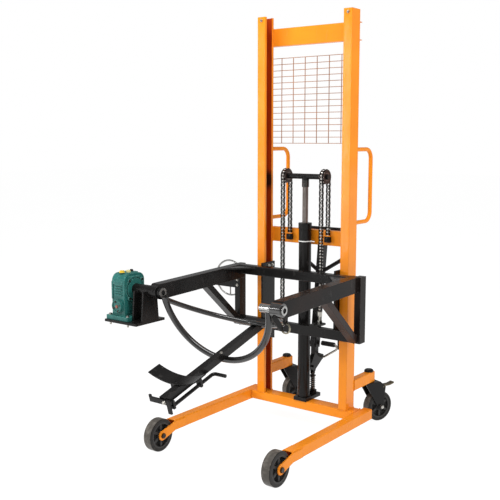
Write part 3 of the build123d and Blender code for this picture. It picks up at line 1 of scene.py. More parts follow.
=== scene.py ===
# %% [markdown]
# A tipping stacker: a hand-pumped mast on wheels that lifts a drum and tips it over.
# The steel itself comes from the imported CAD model. This lesson dresses it: paint, plating,
# roller chains, a spring, bolts, welds and castings, then light and a camera.
# Everything is in metres, with Z up and the origin on the floor below the mast.

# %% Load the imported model
import json
from math import cos, pi, radians, sin

import bmesh
import bpy
from mathutils import Matrix, Vector


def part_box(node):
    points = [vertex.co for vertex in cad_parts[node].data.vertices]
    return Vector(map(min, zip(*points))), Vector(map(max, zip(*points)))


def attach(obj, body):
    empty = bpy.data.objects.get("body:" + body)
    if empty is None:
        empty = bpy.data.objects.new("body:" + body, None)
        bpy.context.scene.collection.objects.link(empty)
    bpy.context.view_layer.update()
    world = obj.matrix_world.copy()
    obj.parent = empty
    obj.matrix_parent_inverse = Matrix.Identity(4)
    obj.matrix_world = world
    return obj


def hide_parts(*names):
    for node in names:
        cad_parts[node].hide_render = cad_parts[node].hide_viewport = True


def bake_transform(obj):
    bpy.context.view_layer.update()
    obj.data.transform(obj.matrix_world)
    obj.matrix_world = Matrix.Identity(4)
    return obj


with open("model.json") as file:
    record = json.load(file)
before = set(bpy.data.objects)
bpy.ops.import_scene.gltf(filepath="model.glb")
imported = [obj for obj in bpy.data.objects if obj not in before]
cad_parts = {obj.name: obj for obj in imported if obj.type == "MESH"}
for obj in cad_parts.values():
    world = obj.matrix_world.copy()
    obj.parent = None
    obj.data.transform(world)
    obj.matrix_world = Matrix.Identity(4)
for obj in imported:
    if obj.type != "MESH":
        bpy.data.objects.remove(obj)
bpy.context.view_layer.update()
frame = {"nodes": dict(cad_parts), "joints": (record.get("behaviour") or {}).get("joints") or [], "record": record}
joints = {joint["name"]: joint for joint in frame["joints"]}


def corners(node):
    return [Vector(corner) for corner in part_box(node)]


# %% [markdown]
# Shader maths reads best as plain sums. A Wire wraps the output of a shader node, and adding,
# multiplying or comparing wires adds the Math nodes that do it. A Finish is one material,
# and its node method makes every other node. Every pattern reads Object coordinates, because
# the pieces all stand at the origin, so a pattern keeps its real size and never slides.

# %% Wires and finishes
class Wire:
    def __init__(self, finish, socket):
        self.finish = finish
        self.socket = socket

    def __add__(self, other):
        return self.finish.math("ADD", self, other)

    __radd__ = __add__

    def __sub__(self, other):
        return self.finish.math("SUBTRACT", self, other)

    def __rsub__(self, other):
        return self.finish.math("SUBTRACT", other, self)

    def __mul__(self, other):
        return self.finish.math("MULTIPLY", self, other)

    __rmul__ = __mul__

    def __pow__(self, other):
        return self.finish.math("POWER", self, other)

    def __lt__(self, other):
        return self.finish.math("LESS_THAN", self, other)

    def __gt__(self, other):
        return self.finish.math("GREATER_THAN", self, other)

    # Spreads the range from low to high over 0 to 1
    def stretch(self, low, high):
        ends = {"Value": self, "From Min": low, "From Max": high}
        return self.finish.node("ShaderNodeMapRange", {}, ends)


class Finish:
    def __init__(self, name):
        self.material = bpy.data.materials.new(name)
        self.material.use_nodes = True
        self.tree = self.material.node_tree
        self.shader = self.tree.nodes["Principled BSDF"]
        self.place = self.node("ShaderNodeTexCoord", {}, {}, "Object")
        self.rounded = None

    def feed(self, socket, value):
        if isinstance(value, Wire):
            self.tree.links.new(value.socket, socket)
        else:
            socket.default_value = value

    def node(self, kind, settings, inputs, output=0):
        made = self.tree.nodes.new(kind)
        for name, value in settings.items():
            setattr(made, name, value)
        for key, value in inputs.items():
            self.feed(made.inputs[key], value)
        return Wire(self, made.outputs[output])

    def set(self, **values):
        for name, value in values.items():
            self.feed(self.shader.inputs[name.replace("_", " ")], value)

    def noise(self, scale, detail=2.0, stretch=None):
        place = self.place
        if stretch:
            place = self.node("ShaderNodeMapping", {}, {"Vector": place, "Scale": stretch})
        return self.node("ShaderNodeTexNoise", {}, {"Vector": place, "Scale": scale, "Detail": detail})

    def math(self, operation, *values):
        return self.node("ShaderNodeMath", {"operation": operation}, dict(enumerate(values)))

    def dot(self, first, second):
        settings = {"operation": "DOT_PRODUCT"}
        return self.node("ShaderNodeVectorMath", settings, {0: first, 1: second}, "Value")

    def axis(self, name):
        return self.node("ShaderNodeSeparateXYZ", {}, {"Vector": self.place}, name)

    # How far a point lies along an axle, and how far out from it
    def about_axle(self, centre, direction):
        offset = self.node("ShaderNodeVectorMath", {"operation": "SUBTRACT"}, {0: self.place, 1: centre})
        along = self.dot(offset, direction)
        return along, (self.dot(offset, offset) - along * along) ** 0.5

    # 1 on sharp edges and 0 on flat faces
    def edge(self, radius):
        self.rounded = self.node("ShaderNodeBevel", {"samples": 4}, {"Radius": radius})
        flat = self.node("ShaderNodeNewGeometry", {}, {}, "Normal")
        return (1.0 - self.dot(self.rounded, flat)).stretch(0.01, 0.16)

    def mix(self, amount, first, second):
        return self.node("ShaderNodeMix", {"data_type": "RGBA"}, {0: amount, 6: first, 7: second}, 2)

    def bump(self, height, strength, distance):
        sockets = {"Height": height, "Strength": strength, "Distance": distance}
        if self.rounded:
            sockets["Normal"] = self.rounded
        self.set(Normal=self.node("ShaderNodeBump", {}, sockets))


def colour(red, green, blue):
    return (red, green, blue, 1.0)


# %% [markdown]
# Most of the machine is sprayed enamel. Sprayed paint is not one flat colour: it is a little
# uneven, has a fine orange-peel surface, collects rub marks, and wears through along sharp edges.
# The wear could be painted by hand, but a Bevel node finds the edges by itself: it rounds the
# normal near an edge, so where it disagrees with the real normal there is an edge to wear.
# One function gives every enamel.

# %% Enamel paints
edge_width = 0.004
peel_scale = 420.0
peel_depth = 0.0006


def enamel_layers(finish, paint, uneven, rub_tone, rubs, chips):
    cloud = finish.noise(5.0, 3.0).stretch(0.35, 0.7)
    rubbed = finish.noise(38.0, 6.0, (1.0, 1.0, 0.45)).stretch(0.60, 0.78) * rubs
    chipped = finish.edge(edge_width) * finish.noise(55.0, 5.0).stretch(0.42, 0.66) * chips
    worn = finish.math("MAXIMUM", rubbed, chipped)
    base = finish.mix(worn, finish.mix(cloud, paint, uneven), rub_tone)
    finish.bump(finish.noise(peel_scale, 2.0) + worn, 0.10, peel_depth)
    return base, cloud * 0.08 + worn * 0.3


def enamel(name, paint, uneven, rub_tone, rubs, chips, roughness, gloss):
    finish = Finish(name)
    base, dullness = enamel_layers(finish, paint, uneven, rub_tone, rubs, chips)
    finish.set(Base_Color=base, Roughness=dullness + roughness, Specular_IOR_Level=gloss)
    return finish


orange_paint = colour(0.83, 0.262, 0.014)
orange_shade = colour(0.76, 0.222, 0.012)
orange_rub = colour(0.56, 0.16, 0.015)
black_paint = colour(0.0060, 0.0057, 0.0057)
black_shade = colour(0.0100, 0.0090, 0.0086)
brown_rub = colour(0.036, 0.019, 0.015)
brown_shade = colour(0.016, 0.0095, 0.0078)
grey_rub = colour(0.085, 0.080, 0.076)
wire_orange = colour(0.42, 0.17, 0.07)
wire_shade = colour(0.30, 0.13, 0.06)
hub_paint = colour(0.030, 0.029, 0.028)
hub_shade = colour(0.045, 0.043, 0.041)

orange_enamel = enamel(
    "orange_enamel", orange_paint, orange_shade, orange_rub,
    rubs=0.35, chips=0.55, roughness=0.22, gloss=0.16
)
black_enamel = enamel(
    "black_enamel", black_paint, black_shade, grey_rub,
    rubs=0.30, chips=0.75, roughness=0.20, gloss=0.20
)
gloss_black = enamel(
    "gloss_black_enamel", black_paint, black_shade, grey_rub,
    rubs=0.12, chips=0.75, roughness=0.12, gloss=0.85
)
brown_black = enamel(
    "brown_black_enamel", brown_shade, brown_rub, brown_rub,
    rubs=0.60, chips=0.80, roughness=0.26, gloss=0.18
)
wire_paint = enamel(
    "wire_paint", wire_orange, wire_shade, brown_rub,
    rubs=0.4, chips=0.0, roughness=0.4, gloss=0.3
)
hub_black = enamel(
    "hub_black", hub_paint, hub_shade, grey_rub,
    rubs=0.4, chips=0.6, roughness=0.42, gloss=0.2
)
print("materials in the file", len(bpy.data.materials))

# %% [markdown]
# The mast posts are open channels, and the guide rollers run inside them on grease. The paint in
# there is darkened to a deep red brown, which is painted shade deep in the channel together with
# the grease, and on the left post a dark smear shows where the carriage usually stands. The
# channel could be a second material on some faces, but a mask by place picks the inside of the
# channel without touching the mesh.

# %% Greased mast channels
post_low, post_high = corners("mast_post_right")
post_wall = 0.005
mask_margin = 0.0004
# Painted shade and grease: the deep red browns that darken the inside of the channel
shade_and_grease_red = colour(0.560, 0.062, 0.005)
shade_and_grease_brown = colour(0.360, 0.036, 0.004)
smear_brown = colour(0.060, 0.012, 0.006)
smear_low = 1.245
smear_high = 1.325
smear_fade = 0.018
ragged_height = 0.05

mast_enamel = Finish("mast_enamel")
mast_base, mast_dullness = enamel_layers(
    mast_enamel, orange_paint, orange_shade, orange_rub, rubs=0.30, chips=0.5
)
across = mast_enamel.axis("X")
depth = mast_enamel.axis("Y")
height = mast_enamel.axis("Z")
sideways = mast_enamel.math("ABSOLUTE", across)
# These masks pick the inside of the channel, where painted shade darkens the paint along with grease
within = (sideways > post_low.x + mask_margin) * (sideways < post_high.x - post_wall + mask_margin)
behind_lip = within * (depth > post_wall - mask_margin)
shade_and_grease_mask = behind_lip * (depth < post_high.y - post_wall + mask_margin)
streaky = mast_enamel.noise(30.0, 4.0, (1.0, 1.0, 0.10)).stretch(0.3, 0.7)
shade_and_grease_tone = mast_enamel.mix(streaky, shade_and_grease_red, shade_and_grease_brown)
ragged = mast_enamel.noise(26.0, 4.0, (1.0, 1.0, 0.4)) * ragged_height
smear_place = height - ragged + ragged_height / 2
smear_start = smear_place.stretch(smear_low - smear_fade, smear_low + smear_fade)
smear_end = smear_place.stretch(smear_high - smear_fade, smear_high + smear_fade)
smear = smear_start * (1.0 - smear_end) * (across < 0.0)
shade_and_grease_tone = mast_enamel.mix(smear, shade_and_grease_tone, smear_brown)
mast_enamel.set(Base_Color=mast_enamel.mix(shade_and_grease_mask, mast_base, shade_and_grease_tone), Specular_IOR_Level=0.22)
mast_enamel.set(Roughness=mast_dullness + shade_and_grease_mask * 0.26 + 0.07)
print("channel mask", round(post_low.x, 4), round(post_high.x - post_wall, 4))

# %% [markdown]
# The reducer is a rough casting under green paint, so it gets a coarser bump than the sprayed
# steel, and lighter high spots and edges, where the paint has been knocked thin.

# %% Green casting
casting_depth = 0.0012

green_casting = Finish("green_casting")
casting_grain = green_casting.noise(95.0, 5.0)
casting_cloud = green_casting.noise(14.0, 3.0).stretch(0.35, 0.7)
high_spots = casting_grain.stretch(0.58, 0.74) * 0.35 + green_casting.edge(edge_width) * 0.55
green_deep = green_casting.mix(casting_cloud, colour(0.012, 0.099, 0.088), colour(0.021, 0.140, 0.124))
green_casting.set(Base_Color=green_casting.mix(high_spots, green_deep, colour(0.13, 0.34, 0.29)))
green_casting.set(Roughness=0.36 + high_spots * 0.25, Specular_IOR_Level=0.4)
green_casting.bump(casting_grain, 0.25, casting_depth)
print("finish", green_casting.material.name)

# %% [markdown]
# Bare metal comes in several kinds: zinc plate on fittings, polished steel on the handwheel and
# the trunnion, ground steel on the lift rod, oiled dark steel on the chain wheels, and a brassy
# passivated plate on the brake pedals. Each has fine streaks that break up its reflections,
# stretched along the way that the piece was ground or rubbed.

# %% Metals
even = (1.0, 1.0, 1.0)
plain_streaks = 60.0
rod_streaks = 120.0
fine_streaks = 160.0
streak_depth = 0.0004


def metal(name, bright, dull, roughness, streak=even, scale=plain_streaks):
    finish = Finish(name)
    streaks = finish.noise(scale, 4.0, streak).stretch(0.3, 0.72)
    stain = finish.noise(17.0, 3.0).stretch(0.45, 0.8)
    finish.set(Base_Color=finish.mix(stain, finish.mix(streaks, bright, dull), dull))
    finish.set(Metallic=1.0, Roughness=roughness + streaks * 0.12 + stain * 0.10)
    finish.bump(streaks, 0.06, streak_depth)
    return finish


zinc_plate = metal(
    "zinc_plate", colour(0.62, 0.61, 0.57), colour(0.36, 0.34, 0.30), 0.26, streak=(1.0, 1.0, 3.0)
)
chrome = metal("chrome", colour(0.46, 0.45, 0.44), colour(0.26, 0.25, 0.24), 0.16, streak=(2.0, 2.0, 2.0))
wheel_steel = metal("handwheel_steel", colour(0.44, 0.44, 0.43), colour(0.20, 0.20, 0.19), 0.24)
ground_rod = metal(
    "ground_rod", colour(0.29, 0.255, 0.235), colour(0.19, 0.165, 0.15), 0.30,
    streak=(1.0, 1.0, 0.12), scale=rod_streaks
)
chain_black = metal(
    "chain_plates", colour(0.030, 0.028, 0.027), colour(0.012, 0.011, 0.011), 0.36, scale=fine_streaks
)
chain_bright = metal(
    "chain_rollers", colour(0.80, 0.78, 0.75), colour(0.58, 0.56, 0.53), 0.30, scale=fine_streaks
)
chain_steel = metal(
    "dark_steel", colour(0.10, 0.095, 0.09), colour(0.035, 0.032, 0.030), 0.36, scale=fine_streaks
)
brake_plate = metal(
    "brake_plate", colour(0.26, 0.21, 0.13), colour(0.08, 0.065, 0.045), 0.36, streak=(1.0, 3.0, 1.0)
)
gear_bronze = metal(
    "gear_bronze", colour(0.62, 0.40, 0.17), colour(0.44, 0.26, 0.10), 0.30, streak=(3.0, 1.0, 1.0)
)
ring_steel = metal("tie_ring_plate", colour(0.50, 0.47, 0.38), colour(0.28, 0.25, 0.18), 0.28)
spring_steel = metal(
    "spring_steel", colour(0.42, 0.40, 0.38), colour(0.20, 0.185, 0.175), 0.28, scale=fine_streaks
)
print("materials in the file", len(bpy.data.materials))

# %% [markdown]
# Tyres are cast polyurethane, dark grey and scuffed, with a paler tread, which is partly scuffing
# where they roll and partly a painted highlight where the tread catches the light. Each tyre
# turns about its own axle, which is a joint of the model, so the tread is a mask by the distance
# from that axle. The pedal sleeve is rubber with fine ribs, which are too small for geometry,
# so a sine wave along the sleeve makes them as a bump.

# %% Tyres and rubber
tread_radius = 0.0787
mould_ring_pitch = 0.006
rib_pitch = 0.0045


def tyre_finish(name, joint):
    finish = Finish(name)
    out = finish.about_axle(joint["pos_m"], joint["axis"])[1]
    # The paler tread colour is a painted highlight as well as rolling wear
    tread = (out > tread_radius) * 0.85
    scuff = finish.noise(46.0, 6.0).stretch(0.48, 0.75)
    cloud = finish.noise(9.0, 2.0)
    side = finish.mix(cloud, colour(0.007, 0.0063, 0.0056), colour(0.014, 0.0125, 0.011))
    side = finish.mix(scuff * 0.35, side, colour(0.07, 0.062, 0.054))
    tread_wear_and_highlight = finish.mix(scuff, colour(0.085, 0.076, 0.066), colour(0.19, 0.172, 0.150))
    finish.set(Base_Color=finish.mix(tread, side, tread_wear_and_highlight), Roughness=0.36 + scuff * 0.2)
    finish.set(Specular_IOR_Level=0.2)
    rings = finish.math("SINE", out * (2 * pi / mould_ring_pitch))
    finish.bump(finish.noise(240.0, 4.0) + rings * 0.15, 0.12, 0.0008)
    return finish


wheels = [(place, side) for place in ("front", "caster") for side in ("left", "right")]
tyres = {}
for place, side in wheels:
    tyre = f"{place}_tyre_{side}"
    tyres[tyre] = tyre_finish(tyre + "_rubber", joints[f"{place}_wheel_{side}_roll"])

grip_rubber = Finish("grip_rubber")
grip_dust = grip_rubber.noise(70.0, 3.0).stretch(0.5, 0.8) * 0.5
grip_base = grip_rubber.mix(grip_dust, colour(0.012, 0.012, 0.012), colour(0.05, 0.048, 0.045))
grip_rubber.set(Base_Color=grip_base, Roughness=0.62 + grip_dust * 0.2, Specular_IOR_Level=0.25)
grip_turns = grip_rubber.axis("X") * (2 * pi / rib_pitch)
grip_rubber.bump(grip_rubber.math("SINE", grip_turns), 0.5, 0.0006)
print("tyres", len(tyres))

# %% [markdown]
# Some CAD pieces carry two finishes, because they are welded or turned from one bar: the left
# trunnion is painted but its end is bare, the right one is polished with painted shade darkening
# the socket in its end, the crosshead has a bare steel socket under its painted bar, and the chain
# wheels are brown with oil, with a turned hub. Masks by place split each of them.

# %% Pieces with two finishes
along_x = (1.0, 0.0, 0.0)
axle_y, axle_z = joints["cradle_tip"]["pos_m"][1:]
axle_point = (0.0, axle_y, axle_z)
wheel_point = tuple(joints["chain_wheel_turn"]["pos_m"])
left_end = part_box("trunnion_left")[1][0]
right_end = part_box("trunnion_right")[1][0]
crosshead_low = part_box("crosshead")[0][2]
bare_end = 0.0024
socket_radius = 0.0121
socket_depth = 0.0046
crosshead_socket = 0.034
wheel_hub_inner = 0.0125
wheel_hub_outer = 0.0215
tooth_root = 0.0352


def two_tone(name, mask_of, main, other, main_metallic=0.0, other_metallic=1.0, roughness=0.22):
    finish = Finish(name)
    mask = mask_of(finish)
    grain = finish.noise(90.0, 5.0).stretch(0.35, 0.7)
    main_tone = finish.mix(grain, main, [0.6 * value for value in main[:3]] + [1.0])
    other_tone = finish.mix(grain, other, [0.6 * value for value in other[:3]] + [1.0])
    finish.set(Base_Color=finish.mix(mask, main_tone, other_tone))
    finish.set(Metallic=mask * (other_metallic - main_metallic) + main_metallic)
    finish.set(Roughness=grain * 0.10 + roughness, Specular_IOR_Level=0.25)
    finish.bump(grain, 0.08, 0.0004)
    return finish


def left_end_mask(finish):
    return finish.axis("X") > left_end - bare_end


# Painted shade: the socket in the right trunnion's end is coloured black
def right_socket_shade_mask(finish):
    along, out = finish.about_axle(axle_point, along_x)
    return (out < socket_radius) * (along > right_end - socket_depth)


def crosshead_socket_mask(finish):
    return finish.axis("Z") < crosshead_low + crosshead_socket


def wheel_ring_mask(finish):
    out = finish.about_axle(wheel_point, along_x)[1]
    return (out < wheel_hub_outer) * (out > wheel_hub_inner) + (out > tooth_root)


bare_steel = colour(0.30, 0.29, 0.275)
polished_steel = colour(0.52, 0.52, 0.51)
# Black for the painted shade in the right trunnion's socket
socket_painted_shade = colour(0.03, 0.03, 0.03)
dull_steel = colour(0.10, 0.095, 0.09)
wheel_brown = colour(0.050, 0.030, 0.024)
turned_steel = colour(0.16, 0.13, 0.12)

left_trunnion = two_tone("left_trunnion", left_end_mask, black_paint, bare_steel)
right_trunnion = two_tone(
    "right_trunnion", right_socket_shade_mask, polished_steel, socket_painted_shade, main_metallic=1.0, roughness=0.06
)
crosshead_steel = two_tone("crosshead", crosshead_socket_mask, black_paint, dull_steel)
chain_wheel_steel = two_tone("chain_wheels", wheel_ring_mask, wheel_brown, turned_steel, main_metallic=0.6)
print("materials in the file", len(bpy.data.materials))

# %% [markdown]
# The right arm is rubbed black steel, but the sleeve across its nose, in which the cradle turns, is
# glossy. The two are one solid, so a mask round the cradle's axle lays a clear coat on the
# sleeve alone. The coat mirrors the lights and leaves the black below it as it is.

# %% Right arm with its glossy sleeve
arm_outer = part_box("carriage_arm_right")[1][0]
sleeve_radius = 0.0306
sleeve_rim = 0.004

right_arm_black = Finish("right_arm_enamel")
arm_base, arm_dullness = enamel_layers(
    right_arm_black, black_paint, brown_shade, grey_rub, rubs=0.35, chips=0.90
)
along_sleeve, from_axle = right_arm_black.about_axle(axle_point, along_x)
sleeve = (from_axle < sleeve_radius) * (along_sleeve < arm_outer - sleeve_rim)
right_arm_black.set(Base_Color=arm_base, Roughness=arm_dullness + 0.20, Specular_IOR_Level=0.11)
right_arm_black.set(Coat_Weight=sleeve, Coat_Roughness=0.08, Coat_IOR=1.9)
print("sleeve from the axle", sleeve_radius)

# %% [markdown]
# Now every CAD piece gets its finish. The record names a slot for each piece, so most finishes
# follow the slot, and the pieces that look different have a finish of their own.

# %% Dress the CAD pieces
slot_finish = {
    "orange_paint": orange_enamel,
    "black_paint": black_enamel,
    "green_paint": green_casting,
    "zinc_steel": zinc_plate,
    "chrome_steel": chrome,
    "dark_steel": chain_steel,
    "wheel_hub": hub_black,
    "rubber_grip": grip_rubber,
    "gear_bronze": gear_bronze,
}
own_finish = {
    "mast_post_left": mast_enamel,
    "mast_post_right": mast_enamel,
    "mesh_guard": wire_paint,
    "piston_rod": ground_rod,
    "brake_pedal_left": brake_plate,
    "brake_pedal_right": brake_plate,
    "carriage_arm_right": right_arm_black,
    "arm_brace_right": brown_black,
    "rim_hook": black_enamel,
    "main_hoop": gloss_black,
    "stay_hoop": gloss_black,
    "front_axles": chain_steel,
    "plunger": chain_steel,
    "foot_pedal": zinc_plate,
    "handwheel": wheel_steel,
    "tie_ring": ring_steel,
    "trunnion_left": left_trunnion,
    "trunnion_right": right_trunnion,
    "crosshead": crosshead_steel,
    "chain_wheels": chain_wheel_steel,
    **tyres,
}
for subpart in frame["record"]["subparts"]:
    name = subpart["node"]
    finish = own_finish.get(name) or slot_finish[subpart["material_slot"]]
    node = frame["nodes"][name]
    node.data.materials.clear()
    node.data.materials.append(finish.material)

# %% [markdown]
# New pieces are modelled in a bmesh and then handed to one helper, which makes the object at
# the origin, shades it smooth except at sharp edges, and lets it ride on its body. Two more
# helpers add a ring, which is a spun section, and a block with rounded edges to a bmesh.

# %% Helpers for new pieces
sharp_edge = radians(32.0)
merge_distance = 0.00002


def make_piece(name, bm, finishes, body=None):
    mesh = bpy.data.meshes.new(name)
    bm.to_mesh(mesh)
    bm.free()
    mesh.shade_smooth()
    mesh.set_sharp_from_angle(angle=sharp_edge)
    for finish in finishes:
        mesh.materials.append(finish.material)
    piece = bpy.data.objects.new(name, mesh)
    bpy.context.collection.objects.link(piece)
    if body:
        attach(piece, body)
    print(name, len(mesh.polygons), "faces")
    return piece


def facing(direction, centre):
    turn = Vector((0, 0, 1)).rotation_difference(Vector(direction).normalized())
    return Matrix.Translation(Vector(centre)) @ turn.to_matrix().to_4x4()


def round_edges(bm, edges, offset, segments=2):
    bmesh.ops.bevel(
        bm, geom=list(edges), offset=offset, affect="EDGES", segments=segments, profile=0.5, material=-1
    )


def edges_of(verts):
    return {edge for vert in verts for edge in vert.link_edges}


def add_ring(bm, centre, direction, inner, outer, thickness):
    ring = bmesh.new()
    bmesh.ops.create_grid(ring, x_segments=1, y_segments=1, size=0.5)
    bmesh.ops.delete(ring, geom=ring.faces[:], context="FACES_ONLY")
    upright = Matrix.Translation(((inner + outer) / 2, 0, 0)) @ Matrix.Rotation(pi / 2, 4, "X")
    section = upright @ Matrix.Diagonal((outer - inner, thickness, 1, 1))
    bmesh.ops.transform(ring, verts=ring.verts[:], matrix=section)
    bmesh.ops.spin(
        ring, geom=ring.verts[:] + ring.edges[:], cent=(0, 0, 0), axis=(0, 0, 1),
        angle=2 * pi, steps=40, use_merge=True
    )
    bmesh.ops.remove_doubles(ring, verts=ring.verts[:], dist=merge_distance)
    bmesh.ops.recalc_face_normals(ring, faces=ring.faces[:])
    bmesh.ops.transform(ring, verts=ring.verts[:], matrix=facing(direction, centre))
    mesh = bpy.data.meshes.new("ring")
    ring.to_mesh(mesh)
    ring.free()
    bm.from_mesh(mesh)
    bpy.data.meshes.remove(mesh)


def add_block(bm, centre, size, rounding, turn=Matrix()):
    place = Matrix.Translation(Vector(centre)) @ turn @ Matrix.Diagonal((*size, 1.0))
    verts = bmesh.ops.create_cube(bm, size=1.0, matrix=place)["verts"]
    round_edges(bm, edges_of(verts), rounding)


# %% [markdown]
# The wheel hubs are castings with six ribs between the boss and the rim, and a thin wall closes the
# windows between them. Each rib is a rounded block turned about the axle, and the wall is a
# ring. They roll with their wheel.

# %% Hub ribs and walls
rib_count = 6
first_rib = 30
rib_inner = 0.021
rib_outer = 0.0555
rib_size = (rib_outer - rib_inner, 0.013, 0.038)
rib_rounding = 0.002
hub_wall = 0.004
for place, side in wheels:
    roll = joints[f"{place}_wheel_{side}_roll"]
    axle = Vector(roll["axis"]).normalized()
    middle = Vector(roll["pos_m"])
    ahead = Vector((0, 0, 1)).cross(axle)
    bm = bmesh.new()
    add_ring(bm, middle, axle, rib_inner, rib_outer, hub_wall)
    for rib in range(rib_count):
        angle = radians(first_rib + 360 * rib / rib_count)
        outward = ahead * cos(angle) + Vector((0, 0, sin(angle)))
        turn = Matrix((outward, axle.cross(outward), axle)).transposed().to_4x4()
        rib_middle = middle + outward * ((rib_inner + rib_outer) / 2)
        add_block(bm, rib_middle, rib_size, rib_rounding, turn)
    make_piece(f"{place}_ribs_{side}", bm, [hub_black], f"{place}_wheel_{side}")

# %% [markdown]
# A roller chain alternates outer links, which carry the pins, with inner links, which carry the
# rollers. Each link plate is a stadium: a circle whose two halves are moved apart by one pitch,
# then given its thickness by extruding it. The plates are black and the pins and rollers
# are bright, so the faces carry a material number. Two small link meshes are repeated, with
# few faces, because a strand has dozens of them.

# %% Link meshes
chain_pitch = 0.015875
chain_teeth = 13
plate_half_width = 0.0072
plate_thickness = 0.0020
outer_plate_offset = 0.0084
inner_plate_offset = 0.0060
pin_radius = 0.0030
pin_half_length = 0.0124
roller_radius = 0.0054
roller_half_length = 0.0059
bright_number = 1


def add_plate(bm, across):
    ring = bmesh.ops.create_circle(bm, cap_ends=True, segments=12, radius=plate_half_width)["verts"]
    for vert in ring:
        vert.co.y += chain_pitch / 2 if vert.co.y > 0 else -chain_pitch / 2
    face = ring[0].link_faces[0]
    raised = bmesh.ops.extrude_face_region(bm, geom=[face])["geom"]
    tops = [item for item in raised if isinstance(item, bmesh.types.BMVert)]
    bmesh.ops.translate(bm, vec=(0, 0, plate_thickness), verts=tops)
    to_chain = Matrix(((0, 0, 1, across), (1, 0, 0, 0), (0, 1, 0, 0), (0, 0, 0, 1)))
    bmesh.ops.transform(bm, matrix=to_chain, verts=ring + tops)


def add_round(bm, radius, half_length, along):
    turn = Matrix.Translation((0, 0, along)) @ Matrix.Rotation(pi / 2, 4, "Y")
    made = bmesh.ops.create_cone(
        bm, cap_ends=True, segments=10, radius1=radius, radius2=radius, depth=2 * half_length, matrix=turn
    )
    for face in {face for vert in made["verts"] for face in vert.link_faces}:
        face.material_index = bright_number


def link_mesh(name, plate_offset, round_radius, round_half_length):
    bm = bmesh.new()
    add_plate(bm, plate_offset)
    add_plate(bm, -plate_offset - plate_thickness)
    for along in (-chain_pitch / 2, chain_pitch / 2):
        add_round(bm, round_radius, round_half_length, along)
    bmesh.ops.recalc_face_normals(bm, faces=bm.faces[:])
    mesh = bpy.data.meshes.new(name)
    bm.to_mesh(mesh)
    bm.free()
    return mesh


outer_link = link_mesh("outer_link", outer_plate_offset, pin_radius, pin_half_length)
inner_link = link_mesh("inner_link", inner_plate_offset, roller_radius, roller_half_length)
print("link faces", len(outer_link.polygons), len(inner_link.polygons))

# %% [markdown]
# The chain starts at the lug on the middle crossbeam, climbs to its wheel, goes over it and hangs
# down to the carriage. One formula gives the place of each pin along that path, so the links
# keep their rhythm over the wheel. The rear strand moves with frame and lift, and the front
# strand with lift and carriage, so they are made as separate pieces.

# %% Chains
wheel_y = wheel_point[1]
wheel_z = wheel_point[2]
wrap_radius = chain_pitch / (2 * sin(pi / chain_teeth))
wheel_foot = wheel_z - wrap_radius
rear_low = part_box("rear_chains")[0][2]
front_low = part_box("front_chains")[0][2]
strand_half_width = 0.010
chain_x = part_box("front_chains")[1][0] - strand_half_width
climb = wheel_z - rear_low
wrap = pi * wrap_radius
path_length = climb + wrap + wheel_z - front_low


def pin_place(travel):
    if travel < climb:
        return Vector((0, wheel_y + wrap_radius, rear_low + travel))
    if travel < climb + wrap:
        angle = (travel - climb) / wrap_radius
        return Vector((0, wheel_y + wrap_radius * cos(angle), wheel_z + wrap_radius * sin(angle)))
    return Vector((0, wheel_y - wrap_radius, wheel_z - (travel - climb - wrap)))


def chain_strand(first, last):
    bm = bmesh.new()
    for index in range(first, last):
        start = pin_place(index * chain_pitch)
        end = pin_place((index + 1) * chain_pitch)
        along = (end - start).normalized()
        over = along.cross(Vector((1, 0, 0)))
        columns = Matrix(((1, over.x, along.x), (0, over.y, along.y), (0, over.z, along.z)))
        for side in (-1, 1):
            before = len(bm.verts)
            bm.from_mesh(outer_link if index % 2 == 0 else inner_link)
            bm.verts.ensure_lookup_table()
            middle = (start + end) / 2 + Vector((side * chain_x, 0, 0))
            place = Matrix.Translation(middle) @ columns.to_4x4()
            bmesh.ops.transform(bm, matrix=place, verts=bm.verts[before:])
    return bm


chain_finishes = (chain_black, chain_bright)
link_count = int(path_length / chain_pitch)
rear_count = round((climb + wrap) / chain_pitch)
rear_strand = chain_strand(0, rear_count)
rear_links = make_piece("rear_chain_links", rear_strand, chain_finishes)
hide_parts("rear_chains")
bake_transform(rear_links)
front_strand = chain_strand(rear_count, link_count)
front_links = make_piece("front_chain_links", front_strand, chain_finishes)
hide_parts("front_chains")
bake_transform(front_links)

# %% [markdown]
# The pump's return spring is one wire wound round the plunger. Spin turns a small disc about the
# plunger and lifts it a little at every step, which is exactly how a spring is coiled. It
# stands on the pump and is pressed by the plunger.

# %% Return spring
spring_low, spring_high = corners("pump_spring")
spring_wire = 0.0045
spring_turns = 6
steps_per_turn = 24
coil_steps = steps_per_turn * spring_turns
coil_radius = (spring_high.x - spring_low.x - spring_wire) / 2
coil_rise = spring_high.z - spring_low.z - spring_wire
spring_y = (spring_low.y + spring_high.y) / 2
bm = bmesh.new()
upright = Matrix.Translation((coil_radius, 0, 0)) @ Matrix.Rotation(pi / 2, 4, "X")
bmesh.ops.create_circle(bm, cap_ends=True, segments=10, radius=spring_wire / 2, matrix=upright)
bmesh.ops.spin(
    bm, geom=bm.verts[:] + bm.edges[:] + bm.faces[:], cent=(0, 0, 0), axis=(0, 0, 1),
    dvec=(0, 0, coil_rise / coil_steps), angle=2 * pi * spring_turns, steps=coil_steps, use_merge=False
)
bmesh.ops.recalc_face_normals(bm, faces=bm.faces[:])
bmesh.ops.translate(bm, vec=(0, spring_y, spring_low.z + spring_wire / 2), verts=bm.verts[:])
spring = make_piece("return_spring", bm, [spring_steel])
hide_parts("pump_spring")
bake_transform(spring)

# %% [markdown]
# Bolts hold the covers, the end posts and the mast top. A bolt is a washer and a six-sided head
# with a bevelled rim, made along Z and then turned to face outwards. Their sizes follow the
# head, so one number makes a bolt of any size. A stud is a plain round bar with bevelled ends.

